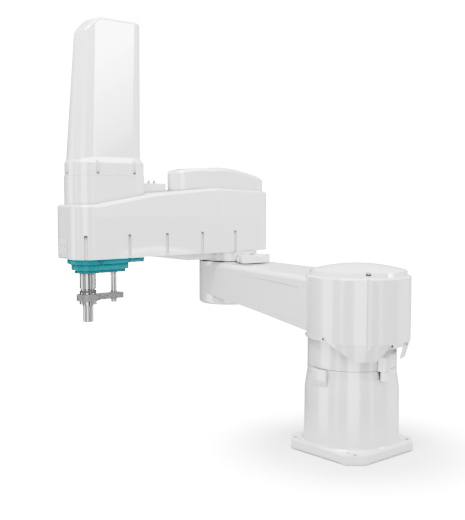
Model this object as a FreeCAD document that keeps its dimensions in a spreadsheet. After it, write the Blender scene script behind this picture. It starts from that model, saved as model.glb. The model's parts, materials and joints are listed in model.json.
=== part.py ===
import FreeCAD, Part
import Sketcher
import math
import os
import re

# A floor-standing four-axis arm: two horizontal links, a lifting and turning tool
# shaft, and the drives inside the housings. Millimetres, +Z up, origin at the centre
# of the mounting flange's underside, +X towards the front of the base. At rest the
# upper link points along -Y and the fore link along +X.

SIZES = {
    # mounting flange and column
    "flange_side": 313,
    "flange_corner": 42,
    "flange_thick": 29.5,
    "foot_relief": 4,
    "foot_length": 62,
    "bolt_pitch": 250,
    "bolt_hole": 14,
    "dowel_hole": 8,
    "dowel_out": 130,
    "dowel_pitch": 203,
    "column_radius": 150.5,
    "column_wall": 12,
    "column_straight": 200,
    "column_fillet": 12,
    "shoulder_blend": 160,
    "ring_step": 1,
    "ring_radius": 142,
    "ring_start": 248.5,
    "seam_height": 272.5,
    "seam_gap": 1.8,
    "base_web": 26,
    # running and seating clearances
    "running_fit": 0.05,
    "seat_gap": 0.3,
    "overrun": 5,
    # first joint
    "first_case_radius": 95,
    "first_case_depth": 34,
    "first_case_flange": 118,
    "first_flange_thick": 9.5,
    "first_hub_radius": 84,
    "first_hub_top": 300,
    "first_spigot_radius": 60,
    "first_spigot_depth": 36,
    "first_output_radius": 80,
    "first_output_thick": 16,
    "coupling_room": 6,
    "seal_width": 7.5,
    "seal_depth": 3,
    "seal_inset": 2.5,
    "fixed_stop_angle": 21,
    "fixed_stop_radius": 158,
    "fixed_stop_wedge": 222,
    "fixed_stop_foot": 240,
    "moving_stop_angle": 170,
    "moving_stop_out": 147,
    "moving_stop_width": 34,
    "moving_stop_deep": 23,
    "moving_stop_top": 340,
    "moving_stop_corner": 8,
    "stop_pin_radius": 9,
    "stop_pin_drop": 30,
    "stop_pin_out": 156,
    "stop_pin_sleeve": 3,
    # rear connector panel
    "panel_boss_out": 152,
    "panel_half": 56,
    "panel_low": 44,
    "panel_high": 218,
    "panel_window": 12,
    "panel_plate": 3,
    "panel_screw": 3,
    "power_low": 80,
    "power_radius": 19,
    "power_out": 24,
    "signal_low": 128,
    "signal_radius": 15,
    "signal_out": 24,
    "connector_wall": 3,
    "connector_deep": 18,
    "air_height": 184,
    "air_radius": 8,
    "air_pitch": 40,
    "air_out": 22,
    # upper link
    "upper_reach": 600,
    "neck_radius": 142,
    "neck_bore": 122,
    "web_thick": 16,
    "tub_top": 400,
    "motor_well": 100,
    "beam_root": 60,
    "beam_root_half": 137,
    "beam_elbow_half": 110,
    "beam_root_top": 551,
    "beam_elbow_top": 567,
    "beam_root_low": 380,
    "beam_mid": 330,
    "beam_mid_low": 419,
    "beam_elbow_low": 453,
    "beam_wall": 10,
    "beam_bevel": 16,
    "recess_depth": 3,
    "recess_rim": 9,
    "recess_start": 110,
    "recess_end": 590,
    "recess_toe": 25,
    "recess_point": 45,
    "recess_heel": 65,
    "elbow_radius": 110,
    "elbow_low": 411,
    "elbow_floor": 14,
    "elbow_fillet": 14,
    "elbow_bore": 88,
    "cable_hole": 30,
    "tick_spread": 0.65,
    "tick_height": 11,
    "tick_depth": 1,
    "tick_angle": 79,
    # second joint
    "second_flange_radius": 96,
    "second_flange_thick": 12,
    "second_case_depth": 68,
    "second_spigot_radius": 55,
    "second_spigot_depth": 46,
    "second_output_radius": 84,
    "elbow_gap": 4,
    "elbow_seal_outer": 106,
    "elbow_seal_inner": 98,
    "saddle_inner": 112,
    "saddle_outer": 168,
    "saddle_angle": 48,
    "saddle_top": 595,
    "saddle_dip": 90,
    "saddle_dip_depth": 7,
    "saddle_corner": 9,
    "bumper_angle": 2,
    "bumper_inner": 118,
    "bumper_outer": 140,
    "bumper_rise": 20,
    "bumper_corner": 1,
    # drive motors
    "first_motor_side": 130,
    "first_motor_tall": 196,
    "first_motor_flange": 145,
    "motor_flange_thick": 12,
    "motor_shaft_radius": 11,
    "motor_cap_tall": 24,
    "motor_cap_gap": 1.5,
    "second_motor_side": 100,
    "second_motor_tall": 205,
    "second_motor_flange": 116,
    "small_motor_side": 60,
    "small_motor_tall": 50,
    "small_motor_flange": 70,
    "small_cap_tall": 20,
    "small_shaft": 5,
    # first joint cover
    "cap_offset": 23,
    "cap_radius": 165,
    "cap_wall": 4,
    "cap_low": 362,
    "cap_shoulder": 557,
    "cap_ledge_radius": 150,
    "cap_ledge": 574,
    "cap_top": 595,
    "skirt_low": 308,
    "skirt_radius": 149,
    "skirt_lip": 9,
    "cap_front_angle": 52,
    "cap_rear_angle": 142,
    "cap_pocket": 9,
    "cap_pocket_out": 148,
    "cap_pocket_floor": 566,
    "cap_step": 3,
    "cap_edge": 3,
    "cap_gate_gap": 4,
    "cap_screw_head": 5,
    "skirt_edge_low": 105,
    "skirt_edge_high": 41,
    "skirt_notch_wide": 70,
    "skirt_notch_narrow": 40,
    "skirt_notch_far": 28,
    "skirt_notch_from": 60,
    "skirt_notch_top": 346,
    "flute_radius": 9,
    "lug_height": 372.5,
    "lug_thick": 2.5,
    "lug_radius": 7.5,
    "lug_screw_radius": 4.5,
    "lug_head_tall": 1.5,
    "lug_first_angle": 55,
    "lug_second_angle": 92.5,
    "lug_rear_angle": 168,
    "lug_rear_height": 356,
    # fore link housing
    "fore_reach": 600,
    "fore_half": 95,
    "fore_front": 81,
    "fore_rear": 138,
    "fore_corner": 65,
    "fore_low": 604,
    "fore_crease": 736,
    "fore_draft": 7,
    "fore_front_top": 776,
    "fore_bow_top": 812,
    "fore_peak_top": 831,
    "fore_tail_top": 811,
    "fore_front_slope": 20,
    "fore_bow_at": 390,
    "fore_peak_at": 130,
    "fore_wall": 5,
    "fore_edge": 9,
    "tray_thick": 12,
    "heel_notch": 22,
    "heel_notch_height": 22,
    "keel_half": 32,
    "keel_low": 576,
    "keel_turn": 210,
    "keel_end": 412,
    "keel_edge": 8,
    "boss_radius": 104,
    "side_flute_radius": 6,
    "side_flute_out": 94,
    "side_flute_top": 680,
    "side_flute_first": 50,
    "side_flute_pitch": 150,
    "corner_flute_at": 654.4,
    "corner_flute_side": 81.3,
    "cover_screw_head": 3.4,
    "cover_screw_head_tall": 5,
    "cover_screw_in": 2.2,
    # second joint hump
    "hump_half": 80,
    "hump_turn_in": 165,
    "hump_nose_at": 209,
    "hump_nose": 57,
    "hump_facet_at": 230,
    "hump_facet_half": 53,
    "hump_rear": 128,
    "hump_corner": 58,
    "hump_tail_top": 817,
    "hump_shoulder_back": 60,
    "hump_shoulder_top": 880,
    "hump_slope_from": 40,
    "hump_slope_top": 900,
    "hump_top_at": 110,
    "hump_top": 904,
    "hump_brow_at": 195,
    "hump_brow_top": 899,
    "hump_tip_top": 855,
    "hump_crown": 350,
    "hump_edge": 14,
    "hump_wall": 4,
    # quill tower
    "tower_half": 72,
    "tower_back": 138,
    "tower_rise": 55,
    "tower_wall": 5,
    "hood_skirt_half": 70,
    "hood_screw_rise": 6,
    "hood_screw_tall": 5,
    "hood_skirt_tall": 42,
    "hood_shoulder_tall": 18,
    "hood_base_half": 58,
    "hood_top_half": 43,
    "hood_front_shift": 6,
    "hood_lean": 21,
    "hood_tall": 441,
    "hood_slope_back": 25,
    "hood_slope": 0.95,
    "hood_crown": 40,
    "hood_edge": 12,
    "hood_wall": 4,
    "hood_flute": 6,
    # front access plate
    "plate_low": 610,
    "plate_high": 671,
    "plate_half": 25,
    "plate_thick": 2,
    "plate_screw_low": 615,
    "plate_screw_high": 646,
    "plate_side": 10,
    "plate_screw_half": 13,
    "plate_screw_radius": 2.2,
    # stepped shroud under the quill
    "shroud_top_half": 66,
    "shroud_top_back": 184,
    "shroud_top_low": 586,
    "shroud_mid_half": 53,
    "shroud_mid_back": 130,
    "shroud_mid_low": 566,
    "shroud_low_half": 42,
    "shroud_low_back": 124,
    "shroud_low": 555,
    "shroud_wall": 3,
    "shroud_gap": 0.8,
    "shroud_corner": 14,
    # quill shaft, lift screw and their link
    "shaft_radius": 27.5,
    "shaft_top": 1255,
    "shaft_shoulder": 504,
    "neck_groove_radius": 24,
    "seat_radius": 20,
    "tool_radius": 18,
    "tool_low": 396,
    "tool_chamfer": 2,
    "bumper_low": 493,
    "bumper_high": 499,
    "bumper_ring_radius": 28.5,
    "upper_collar_low": 486.8,
    "collar_radius": 27.5,
    "hub_radius": 38,
    "hub_low": 465.5,
    "hub_high": 486.5,
    "bearing_outer": 30,
    "lower_collar_low": 453.5,
    "lower_collar_radius": 29,
    "link_back": 128,
    "link_half": 16,
    "screw_back": 98,
    "nut_housing": 10,
    "spline_bearing_wide": 16,
    "ball_bearing_wide": 12,
    "bearing_tall": 30,
    "screw_radius": 11,
    "screw_low": 453,
    "screw_top": 1240,
    # quill drives
    "spline_nut_radius": 40,
    "spline_nut_low": 572,
    "spline_nut_high": 672,
    "ball_nut_radius": 20,
    "ball_nut_low": 580,
    "ball_nut_high": 712,
    "turn_pulley_radius": 46,
    "turn_pulley_low": 640,
    "turn_motor_at": 270,
    "turn_motor_pulley": 22,
    "lift_pulley_radius": 31,
    "lift_pulley_low": 686,
    "lift_motor_at": 360,
    "lift_motor_pulley": 22,
    "belt_width": 18,
    "belt_thick": 2,
    "pulley_lip": 2,
    "bracket_low": 728,
    "bracket_thick": 8,
    "bracket_half": 50,
    "bracket_leg": 14,
    # small fittings
    "fitting_at": 332,
    "fitting_pitch": 23,
    "fitting_side": 20,
    "fitting_top": 858,
    "fitting_radius": 6,
    "fitting_pad_rear": 282,
    "fitting_pad_front": 380,
    "fitting_pad_half": 22,
    "fitting_pad_top": 846,
    "fitting_pad_corner": 8,
}

doc = FreeCAD.newDocument("scara")
sheet = doc.addObject("Spreadsheet::Sheet", "Sizes")
for row, (alias, size) in enumerate(SIZES.items(), 1):
    sheet.set(f"A{row}", alias)
    sheet.set(f"B{row}", str(size))
    sheet.setAlias(f"B{row}", alias)
doc.recompute()

NODES = []
UP = FreeCAD.Vector(0, 0, 1)
ACROSS = FreeCAD.Vector(0, 1, 0)
FORWARD = FreeCAD.Vector(1, 0, 0)
FACINGS = {
    "top": (FreeCAD.Rotation(), "z"),
    "side": (FreeCAD.Rotation(FreeCAD.Vector(1, 0, 0), 90), "y"),
    "end": (FreeCAD.Rotation(FreeCAD.Vector(1, 1, 1), 120), "x"),
}


def cell(alias):
    """The number that the sheet holds under an alias."""
    return float(sheet.get(alias))


def formula(text):
    """A formula over the sheet, from one that names its cells alone."""
    def linked(word):
        return "Sizes." + word.group() if word.group() in SIZES else word.group()

    return re.sub(r"[a-z_]+", linked, text)


def bind(thing, name, text):
    thing.setExpression(name, formula(text))


def worth(text):
    """The number that a formula over the sheet comes to, by the usual rules of arithmetic."""
    words = re.findall(r"[a-z_]+|[0-9.]+|[-+*/()]", text)

    def value():
        word = words.pop(0)
        if word == "-":
            return -value()
        if word == "(":
            inside = total()
            words.pop(0)
            return inside
        return cell(word) if word in SIZES else float(word)

    def product():
        result = value()
        while words and words[0] in "*/":
            if words.pop(0) == "*":
                result *= value()
            else:
                result /= value()
        return result

    def total():
        result = product()
        while words and words[0] in "+-":
            if words.pop(0) == "+":
                result += product()
            else:
                result -= product()
        return result

    return total()


# Sketches

def add_lines(sketch, corners):
    """A closed run of straight edges whose corners are pairs of formulas."""
    first = sketch.GeometryCount
    spots = [FreeCAD.Vector(worth(across), worth(along), 0) for across, along in corners]
    count = len(spots)
    for i in range(count):
        sketch.addGeometry(Part.LineSegment(spots[i], spots[(i + 1) % count]), False)
    for i in range(count):
        following = first + (i + 1) % count
        sketch.addConstraint(Sketcher.Constraint("Coincident", first + i, 2, following, 1))
    for i, (across, along) in enumerate(corners):
        place_point(sketch, first + i, 1, across, along)


def place_point(sketch, edge, end, across, along):
    """Holds one point of an edge at two formulas from the sketch's origin."""
    for kind, text in (("DistanceX", across), ("DistanceY", along)):
        rule = sketch.addConstraint(Sketcher.Constraint(kind, -1, 1, edge, end, worth(text)))
        bind(sketch, f"Constraints[{rule}]", text)


def add_circle(sketch, across, along, radius):
    centre = FreeCAD.Vector(worth(across), worth(along), 0)
    edge = sketch.addGeometry(Part.Circle(centre, UP, worth(radius)), False)
    place_point(sketch, edge, 3, across, along)
    rule = sketch.addConstraint(Sketcher.Constraint("Radius", edge, worth(radius)))
    bind(sketch, f"Constraints[{rule}]", radius)


def add_loop(sketch, low, high, low_radius, high_radius):
    """Two round ends on the X axis joined by tangents: a slot, or a belt's path."""
    left, right = worth(low), worth(high)
    low_size, high_size = worth(low_radius), worth(high_radius)
    wrap = math.acos((low_size - high_size) / (right - left))
    arcs = []
    for spot, size, start, end in ((left, low_size, wrap, 2 * math.pi - wrap),
                                   (right, high_size, -wrap, wrap)):
        circle = Part.Circle(FreeCAD.Vector(spot, 0, 0), UP, size)
        arcs.append(sketch.addGeometry(Part.ArcOfCircle(circle, start, end), False))
    spans = []
    for side in (-1, 1):
        reach = [FreeCAD.Vector(spot + size * math.cos(wrap), side * size * math.sin(wrap), 0)
                 for spot, size in ((left, low_size), (right, high_size))]
        ends = reach if side < 0 else reach[::-1]
        spans.append(sketch.addGeometry(Part.LineSegment(*ends), False))
    sketch.addConstraint(Sketcher.Constraint("Tangent", arcs[0], 2, spans[0], 1))
    sketch.addConstraint(Sketcher.Constraint("Tangent", spans[0], 2, arcs[1], 1))
    sketch.addConstraint(Sketcher.Constraint("Tangent", arcs[1], 2, spans[1], 1))
    sketch.addConstraint(Sketcher.Constraint("Tangent", spans[1], 2, arcs[0], 1))
    for arc, spot, size in ((arcs[0], low, low_radius), (arcs[1], high, high_radius)):
        place_point(sketch, arc, 3, spot, "0")
        rule = sketch.addConstraint(Sketcher.Constraint("Radius", arc, worth(size)))
        bind(sketch, f"Constraints[{rule}]", size)


def free_sketch(name, facing, lift="0"):
    """A sketch that stands by itself: seen from the top, the side or the end."""
    sketch = doc.addObject("Sketcher::SketchObject", name)
    rotation, axis = FACINGS[facing]
    sketch.Placement = FreeCAD.Placement(FreeCAD.Vector(), rotation)
    bind(sketch, f"Placement.Base.{axis}", lift)
    return sketch


def body_sketch(body, role, name):
    """A sketch on one of a body's own origin planes."""
    sketch = body.newObject("Sketcher::SketchObject", name)
    plane = [item for item in body.Origin.OriginFeatures if item.Role == role][0]
    sketch.AttachmentSupport = [(plane, "")]
    sketch.MapMode = "FlatFace"
    return sketch


# Solids

def turned(name, profile):
    """A body turned about Z from a closed profile of radius and height."""
    body = doc.addObject("PartDesign::Body", name)
    sketch = body_sketch(body, "XZ_Plane", name + "_profile")
    add_lines(sketch, profile)
    turn = body.newObject("PartDesign::Revolution", name + "_turn")
    turn.Profile = sketch
    turn.ReferenceAxis = (sketch, ["V_Axis"])
    turn.Angle = 360
    body.Tip = turn
    return body


def ring(name, inner, outer, low, high):
    """A plain turned ring or, with an inner radius of 0, a plain turned disc."""
    return turned(name, [(inner, low), (outer, low), (outer, high), (inner, high)])


def drilled(body, places, radius, low, high, step=""):
    """Pockets round holes through a body, each centred on a pair of formulas."""
    sketch = body_sketch(body, "XY_Plane", f"{body.Name}_holes{step}")
    bind(sketch, "AttachmentOffset.Base.z", high)
    for across, along in places:
        add_circle(sketch, across, along, radius)
    pocket = body.newObject("PartDesign::Pocket", f"{body.Name}_drill{step}")
    pocket.Profile = sketch
    bind(pocket, "Length", f"{high} - ({low})")
    body.Tip = pocket
    return body


def prism(name, sketch, length, both=False):
    """Extrudes a sketch along its own normal, or to both sides of its plane."""
    solid = doc.addObject("Part::Extrusion", name)
    solid.Base = sketch
    solid.DirMode = "Normal"
    solid.Solid = True
    solid.Symmetric = both
    bind(solid, "LengthFwd", length)
    return solid


def top_prism(name, corners, low, high):
    sketch = free_sketch(name + "_outline", "top", low)
    add_lines(sketch, corners)
    return prism(name, sketch, f"{high} - ({low})")


def side_prism(name, corners, width):
    """A side outline of length and height, extruded to both sides of the middle."""
    sketch = free_sketch(name + "_outline", "side")
    add_lines(sketch, corners)
    return prism(name, sketch, width, both=True)


def end_prism(name, corners, start, length):
    sketch = free_sketch(name + "_outline", "end", start)
    add_lines(sketch, corners)
    return prism(name, sketch, length)


def slot_prism(name, low_end, high_end, radius, low, high):
    sketch = free_sketch(name + "_outline", "top", low)
    add_loop(sketch, low_end, high_end, radius, radius)
    return prism(name, sketch, f"{high} - ({low})")


def cylinder(name, radius, low, high, across="0", along="0"):
    rod = doc.addObject("Part::Cylinder", name)
    bind(rod, "Radius", radius)
    bind(rod, "Height", f"{high} - ({low})")
    bind(rod, "Placement.Base.x", across)
    bind(rod, "Placement.Base.y", along)
    bind(rod, "Placement.Base.z", low)
    return rod


def lying_cylinder(name, radius, length, direction, spot):
    """A cylinder along a direction, from a spot given by three formulas."""
    rod = doc.addObject("Part::Cylinder", name)
    rod.Placement = FreeCAD.Placement(FreeCAD.Vector(), FreeCAD.Rotation(UP, direction))
    bind(rod, "Radius", radius)
    bind(rod, "Height", length)
    for axis, text in zip("xyz", spot):
        bind(rod, f"Placement.Base.{axis}", text)
    return rod


def block(name, low_corner, high_corner):
    """A box between two corners, each three formulas."""
    box = doc.addObject("Part::Box", name)
    for axis, side, low, high in zip("xyz", ("Length", "Width", "Height"), low_corner, high_corner):
        bind(box, side, f"{high} - ({low})")
        bind(box, f"Placement.Base.{axis}", low)
    return box


def tapered(name, low, high, low_half, high_half, back, front):
    """A solid on a slot outline that narrows upward: a cone at each end and a wedge between."""
    pieces = []
    for n, end in enumerate((back, front)):
        cone = doc.addObject("Part::Cone", f"{name}_end_{n}")
        bind(cone, "Radius1", low_half)
        bind(cone, "Radius2", high_half)
        bind(cone, "Height", f"{high} - ({low})")
        bind(cone, "Placement.Base.x", end)
        bind(cone, "Placement.Base.z", low)
        pieces.append(cone)
    wedge = doc.addObject("Part::Wedge", f"{name}_sides")
    upended = FreeCAD.Rotation(FreeCAD.Vector(1, 0, 0), 90)
    wedge.Placement = FreeCAD.Placement(FreeCAD.Vector(), upended)
    for corner, text in (("Xmin", back), ("X2min", back), ("Xmax", front), ("X2max", front),
                         ("Ymin", "0"), ("Ymax", f"{high} - ({low})"),
                         ("Zmin", f"-({low_half})"), ("Zmax", low_half),
                         ("Z2min", f"-({high_half})"), ("Z2max", high_half)):
        bind(wedge, corner, text)
    bind(wedge, "Placement.Base.z", low)
    return fused(name, pieces + [wedge])


def gathered(name, shapes):
    """Several separate solids that share one name."""
    group = doc.addObject("Part::Compound", name)
    group.Links = shapes
    return group


def common(name, shapes):
    solid = doc.addObject("Part::MultiCommon", name)
    solid.Shapes = shapes
    solid.Refine = False
    return solid


def fused(name, shapes):
    solid = doc.addObject("Part::MultiFuse", name)
    solid.Shapes = shapes
    solid.Refine = False
    return solid


def cut(name, base, tools):
    """Takes one tool, or a fusion of several, out of a base."""
    tool = tools[0] if len(tools) == 1 else fused(name + "_tools", tools)
    solid = doc.addObject("Part::Cut", name)
    solid.Base = base
    solid.Tool = tool
    solid.Refine = False
    return solid


def rounded(name, base, chosen, radius):
    """Rounds the edges of a part that a test picks by their shape."""
    doc.recompute()
    fillet = doc.addObject("Part::Fillet", name)
    fillet.Base = base
    picked = [n for n, edge in enumerate(base.Shape.Edges, 1) if chosen(edge)]
    fillet.Edges = [(n, radius, radius) for n in picked]
    return fillet


def circular(edge):
    return not edge.Degenerated and edge.Curve.TypeId == "Part::GeomCircle"


def upright(edge):
    """Whether an edge is straight and runs up and down."""
    if edge.Degenerated or edge.Curve.TypeId != "Part::GeomLine":
        return False
    return abs(edge.tangentAt(edge.FirstParameter).z) > 0.999


def seated(thing, label, across="0", along="0", up="0", turn=0):
    """Names a finished sub-part and puts it in its place."""
    thing.Placement = FreeCAD.Placement(FreeCAD.Vector(), FreeCAD.Rotation(UP, turn))
    for axis, text in (("x", across), ("y", along), ("z", up)):
        bind(thing, f"Placement.Base.{axis}", text)
    thing.Label = label
    NODES.append(thing)
    return thing


def on_quill(thing, label):
    return seated(thing, label, across="fore_reach", along="-upper_reach")


def on_lift(thing, label):
    return seated(thing, label, across="fore_reach - screw_back", along="-upper_reach")


def base_casting():
    """Flange on four corner feet, the column with its rounded shoulder, and the top ring."""
    body = doc.addObject("PartDesign::Body", "base_body")
    sketch = body_sketch(body, "XY_Plane", "flange_outline")
    half = "flange_side/2"
    inner = "flange_side/2 - flange_corner"
    minus_half = "-flange_side/2"
    minus_inner = "flange_corner - flange_side/2"
    add_lines(sketch, [
        (half, minus_inner), (half, inner), (inner, half), (minus_inner, half),
        (minus_half, inner), (minus_half, minus_inner), (minus_inner, minus_half), (inner, minus_half)])
    pad = body.newObject("PartDesign::Pad", "flange_pad")
    pad.Profile = sketch
    bind(pad, "Length", "flange_thick")

    relief = body_sketch(body, "XY_Plane", "foot_relief_outline")
    notch = "flange_side/2 - foot_length"
    minus_notch = "foot_length - flange_side/2"
    add_lines(relief, [
        (half, minus_notch), (half, notch), (notch, notch), (notch, half),
        (minus_notch, half), (minus_notch, notch), (minus_half, notch), (minus_half, minus_notch),
        (minus_notch, minus_notch), (minus_notch, minus_half), (notch, minus_half), (notch, minus_notch)])
    hollow = body.newObject("PartDesign::Pocket", "foot_relief_pocket")
    hollow.Profile = relief
    hollow.Reversed = True
    bind(hollow, "Length", "foot_relief")

    profile = body_sketch(body, "XZ_Plane", "column_profile")
    seal_out = "ring_radius - seal_inset + seat_gap"
    seal_in = "ring_radius - seal_inset - seal_width - seat_gap"
    bore = "first_case_radius + seat_gap"
    cavity = "column_radius - column_wall"
    add_lines(profile, [
        (bore, "seam_height"), (bore, "seam_height - base_web"),
        (cavity, "seam_height - base_web - column_wall"), (cavity, "foot_relief"),
        ("column_radius", "foot_relief"), ("column_radius", "column_straight"),
        ("ring_radius + ring_step", "ring_start"), ("ring_radius", "ring_start"),
        ("ring_radius", "seam_height"), (seal_out, "seam_height"),
        (seal_out, "seam_height - seal_depth"), (seal_in, "seam_height - seal_depth"),
        (seal_in, "seam_height")])
    column = body.newObject("PartDesign::Revolution", "column_turn")
    column.Profile = profile
    column.ReferenceAxis = (profile, ["V_Axis"])
    column.Angle = 360

    wedge = body_sketch(body, "XZ_Plane", "fixed_stop_profile")
    root = "ring_radius - seal_inset/2"
    add_lines(wedge, [
        (root, "fixed_stop_wedge"), ("column_radius - 1", "fixed_stop_wedge"),
        ("fixed_stop_radius", "fixed_stop_foot"), ("fixed_stop_radius", "seam_height - 1"),
        ("fixed_stop_radius - 1", "seam_height"), (root, "seam_height")])
    stop = body.newObject("PartDesign::Revolution", "fixed_stop_turn")
    stop.Profile = wedge
    stop.ReferenceAxis = (wedge, ["V_Axis"])
    stop.Midplane = True
    bind(stop, "Angle", "fixed_stop_angle")

    core = body_sketch(body, "XY_Plane", "column_core")
    add_circle(core, "0", "0", cavity)
    opening = body.newObject("PartDesign::Pocket", "column_core_pocket")
    opening.Profile = core
    opening.Reversed = True
    bind(opening, "Length", "flange_thick")

    places = [(x, y) for x in ("bolt_pitch/2", "-bolt_pitch/2") for y in ("bolt_pitch/2", "-bolt_pitch/2")]
    drilled(body, places, "bolt_hole/2", "0", "flange_thick", "_bolts")
    drilled(body, [("dowel_out", "dowel_pitch/2"), ("dowel_out", "-dowel_pitch/2")],
            "dowel_hole/2", "0", "flange_thick", "_dowels")
    doc.recompute()

    def at_flange(edge):
        return circular(edge) and abs(edge.BoundBox.ZMin - cell("flange_thick")) < 0.01 \
            and abs(edge.Curve.Radius - cell("column_radius")) < 0.01

    def at_shoulder(edge):
        return circular(edge) and abs(edge.BoundBox.ZMin - cell("column_straight")) < 0.01 \
            and abs(edge.BoundBox.ZMax - cell("column_straight")) < 0.01

    for name, chosen, radius in (("foot_fillet", at_flange, "column_fillet"),
                                 ("shoulder_fillet", at_shoulder, "shoulder_blend")):
        solid = body.Tip
        picked = [f"Edge{n}" for n, edge in enumerate(solid.Shape.Edges, 1) if chosen(edge)]
        fillet = body.newObject("PartDesign::Fillet", name)
        fillet.Base = (solid, picked)
        bind(fillet, "Radius", radius)
        body.Tip = fillet
        doc.recompute()

    boss = block("panel_boss", ("-panel_boss_out", "-panel_half", "panel_low"),
                 ("2*column_wall - column_radius", "panel_half", "panel_high"))
    bored = cylinder("panel_boss_core", cavity, "panel_low - 1", "panel_high + 1")
    pad_boss = cut("panel_boss_trimmed", boss, [bored])
    whole = fused("base_with_boss", [body, pad_boss])
    window = block("panel_window_cut",
                   ("-panel_boss_out - 1", "panel_window - panel_half", "panel_low + panel_window"),
                   ("-column_radius/2", "panel_half - panel_window", "panel_high - panel_window"))
    seated(cut("base_shape", whole, [window] + panel_screw_holes()), "base_casting")


def panel_screw_spots():
    """The four corners of the rear panel where its screws stand."""
    side = "panel_half - panel_window/2"
    heights = ("panel_low + panel_window/2", "panel_high - panel_window/2")
    return [(y, z) for y in (side, f"0 - ({side})") for z in heights]


def panel_screw_holes():
    return [lying_cylinder(f"panel_hole_{n}", "panel_screw + seat_gap", "7*panel_plate",
                           FORWARD, ("-panel_boss_out - panel_plate - 1", y, z))
            for n, (y, z) in enumerate(panel_screw_spots())]


def rear_panel():
    """Plate, connectors and air fittings that close the window in the column's back."""
    out = "-panel_boss_out"
    plate = block("panel_plate_shape", (f"{out} - panel_plate", "-panel_half", "panel_low"),
                  (out, "panel_half", "panel_high"))
    spots = panel_screw_spots()
    holes = [doc.getObject(f"panel_hole_{n}") for n in range(len(spots))]
    screws = []
    for n, (y, z) in enumerate(spots):
        head = lying_cylinder(f"panel_head_{n}", "2*panel_screw", "panel_screw", FORWARD,
                              (f"{out} - panel_plate - panel_screw", y, z))
        shank = lying_cylinder(f"panel_shank_{n}", "panel_screw", "3*panel_plate", FORWARD,
                               (f"{out} - panel_plate", y, z))
        screws.append(fused(f"panel_screw_{n}", [head, shank]))
    sockets = [("power_connector", "power_low", "power_radius", "power_out"),
               ("signal_connector", "signal_low", "signal_radius", "signal_out")]
    for name, height, radius, reach in sockets:
        spot = (f"{out} - panel_plate - {reach}", "0", height)
        shell = lying_cylinder(f"{name}_shell", radius, f"{reach} + 4*panel_plate", FORWARD, spot)
        hollow = lying_cylinder(f"{name}_hollow", f"{radius} - connector_wall", "connector_deep",
                                FORWARD, spot)
        collar = lying_cylinder(f"{name}_collar", f"{radius} + connector_wall", "2*connector_wall",
                                FORWARD, (f"{out} - panel_plate - 2*connector_wall", "0", height))
        body = fused(f"{name}_body", [shell, collar])
        seated(cut(f"{name}_cut", body, [hollow]), name)
        holes.append(lying_cylinder(f"{name}_hole", f"{radius} + seat_gap", "3*panel_plate", FORWARD,
                                    (f"{out} - panel_plate - 1", "0", height)))
    fittings = []
    for n, side in enumerate(("-air_pitch/2", "air_pitch/2")):
        nut = lying_cylinder(f"air_nut_{n}", "air_radius", "air_out", FORWARD,
                             (f"{out} - panel_plate - air_out", side, "air_height"))
        tail = lying_cylinder(f"air_tail_{n}", "air_radius/2", "4*panel_plate", FORWARD,
                              (f"{out} - panel_plate", side, "air_height"))
        bore = lying_cylinder(f"air_bore_{n}", "air_radius/2 - 1", "air_out + panel_plate", FORWARD,
                              (f"{out} - panel_plate - air_out", side, "air_height"))
        fittings.append(cut(f"air_fitting_{n}", fused(f"air_body_{n}", [nut, tail]), [bore]))
        holes.append(lying_cylinder(f"air_hole_{n}", "air_radius/2 + seat_gap", "3*panel_plate", FORWARD,
                                    (f"{out} - panel_plate - 1", side, "air_height")))
    seated(cut("rear_panel_shape", plate, holes), "rear_panel")
    seated(gathered("panel_screw_set", screws), "rear_panel_screws")
    seated(gathered("air_fitting_set", fittings), "rear_air_fittings")


def first_joint():
    """The reducer between the base and the upper link, and the seal round it."""
    bore = "first_spigot_radius"
    flange_top = "seam_height + first_flange_thick"
    case = turned("first_case", [
        (bore, "seam_height - first_spigot_depth/4"), (bore, "first_hub_top"),
        ("first_hub_radius", "first_hub_top"), ("first_hub_radius", flange_top),
        ("first_case_flange", flange_top), ("first_case_flange", "seam_height"),
        ("first_case_radius", "seam_height"), ("first_case_radius", "seam_height - first_case_depth"),
        ("motor_shaft_radius + coupling_room", "seam_height - first_case_depth"),
        ("motor_shaft_radius + coupling_room", "seam_height - first_spigot_depth/4")])
    seated(case, "j1_reducer_case")
    spigot = "first_spigot_radius - running_fit"
    top = "first_hub_top + seat_gap + first_output_thick"
    output = turned("first_output", [
        ("motor_shaft_radius + coupling_room/2", "first_hub_top - first_spigot_depth"),
        (spigot, "first_hub_top - first_spigot_depth"), (spigot, "first_hub_top + seat_gap"),
        ("first_output_radius", "first_hub_top + seat_gap"), ("first_output_radius", top),
        ("motor_shaft_radius + coupling_room/2", top)])
    seated(output, "j1_output_flange")
    outer = "ring_radius - seal_inset"
    seal = ring("first_seal", f"{outer} - seal_width", outer, "seam_height - seal_depth",
                "seam_height + seam_gap - seat_gap")
    seated(seal, "j1_seal")


def beam_side(wall, far="upper_reach"):
    """The upper link's side outline, drawn in from its real one by a wall."""
    return [
        ("beam_root", f"beam_root_low + {wall}"), ("beam_mid", f"beam_mid_low + {wall}"),
        (far, f"beam_elbow_low + {wall}"), (far, f"beam_elbow_top - {wall}"),
        ("beam_root", f"beam_root_top - {wall}")]


def beam_plan(wall, far="upper_reach"):
    root = f"beam_root_half - {wall}"
    tip = f"beam_elbow_half - {wall}"
    return [("beam_root", f"0 - ({root})"), (far, f"0 - ({tip})"), (far, tip), ("beam_root", root)]


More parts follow.
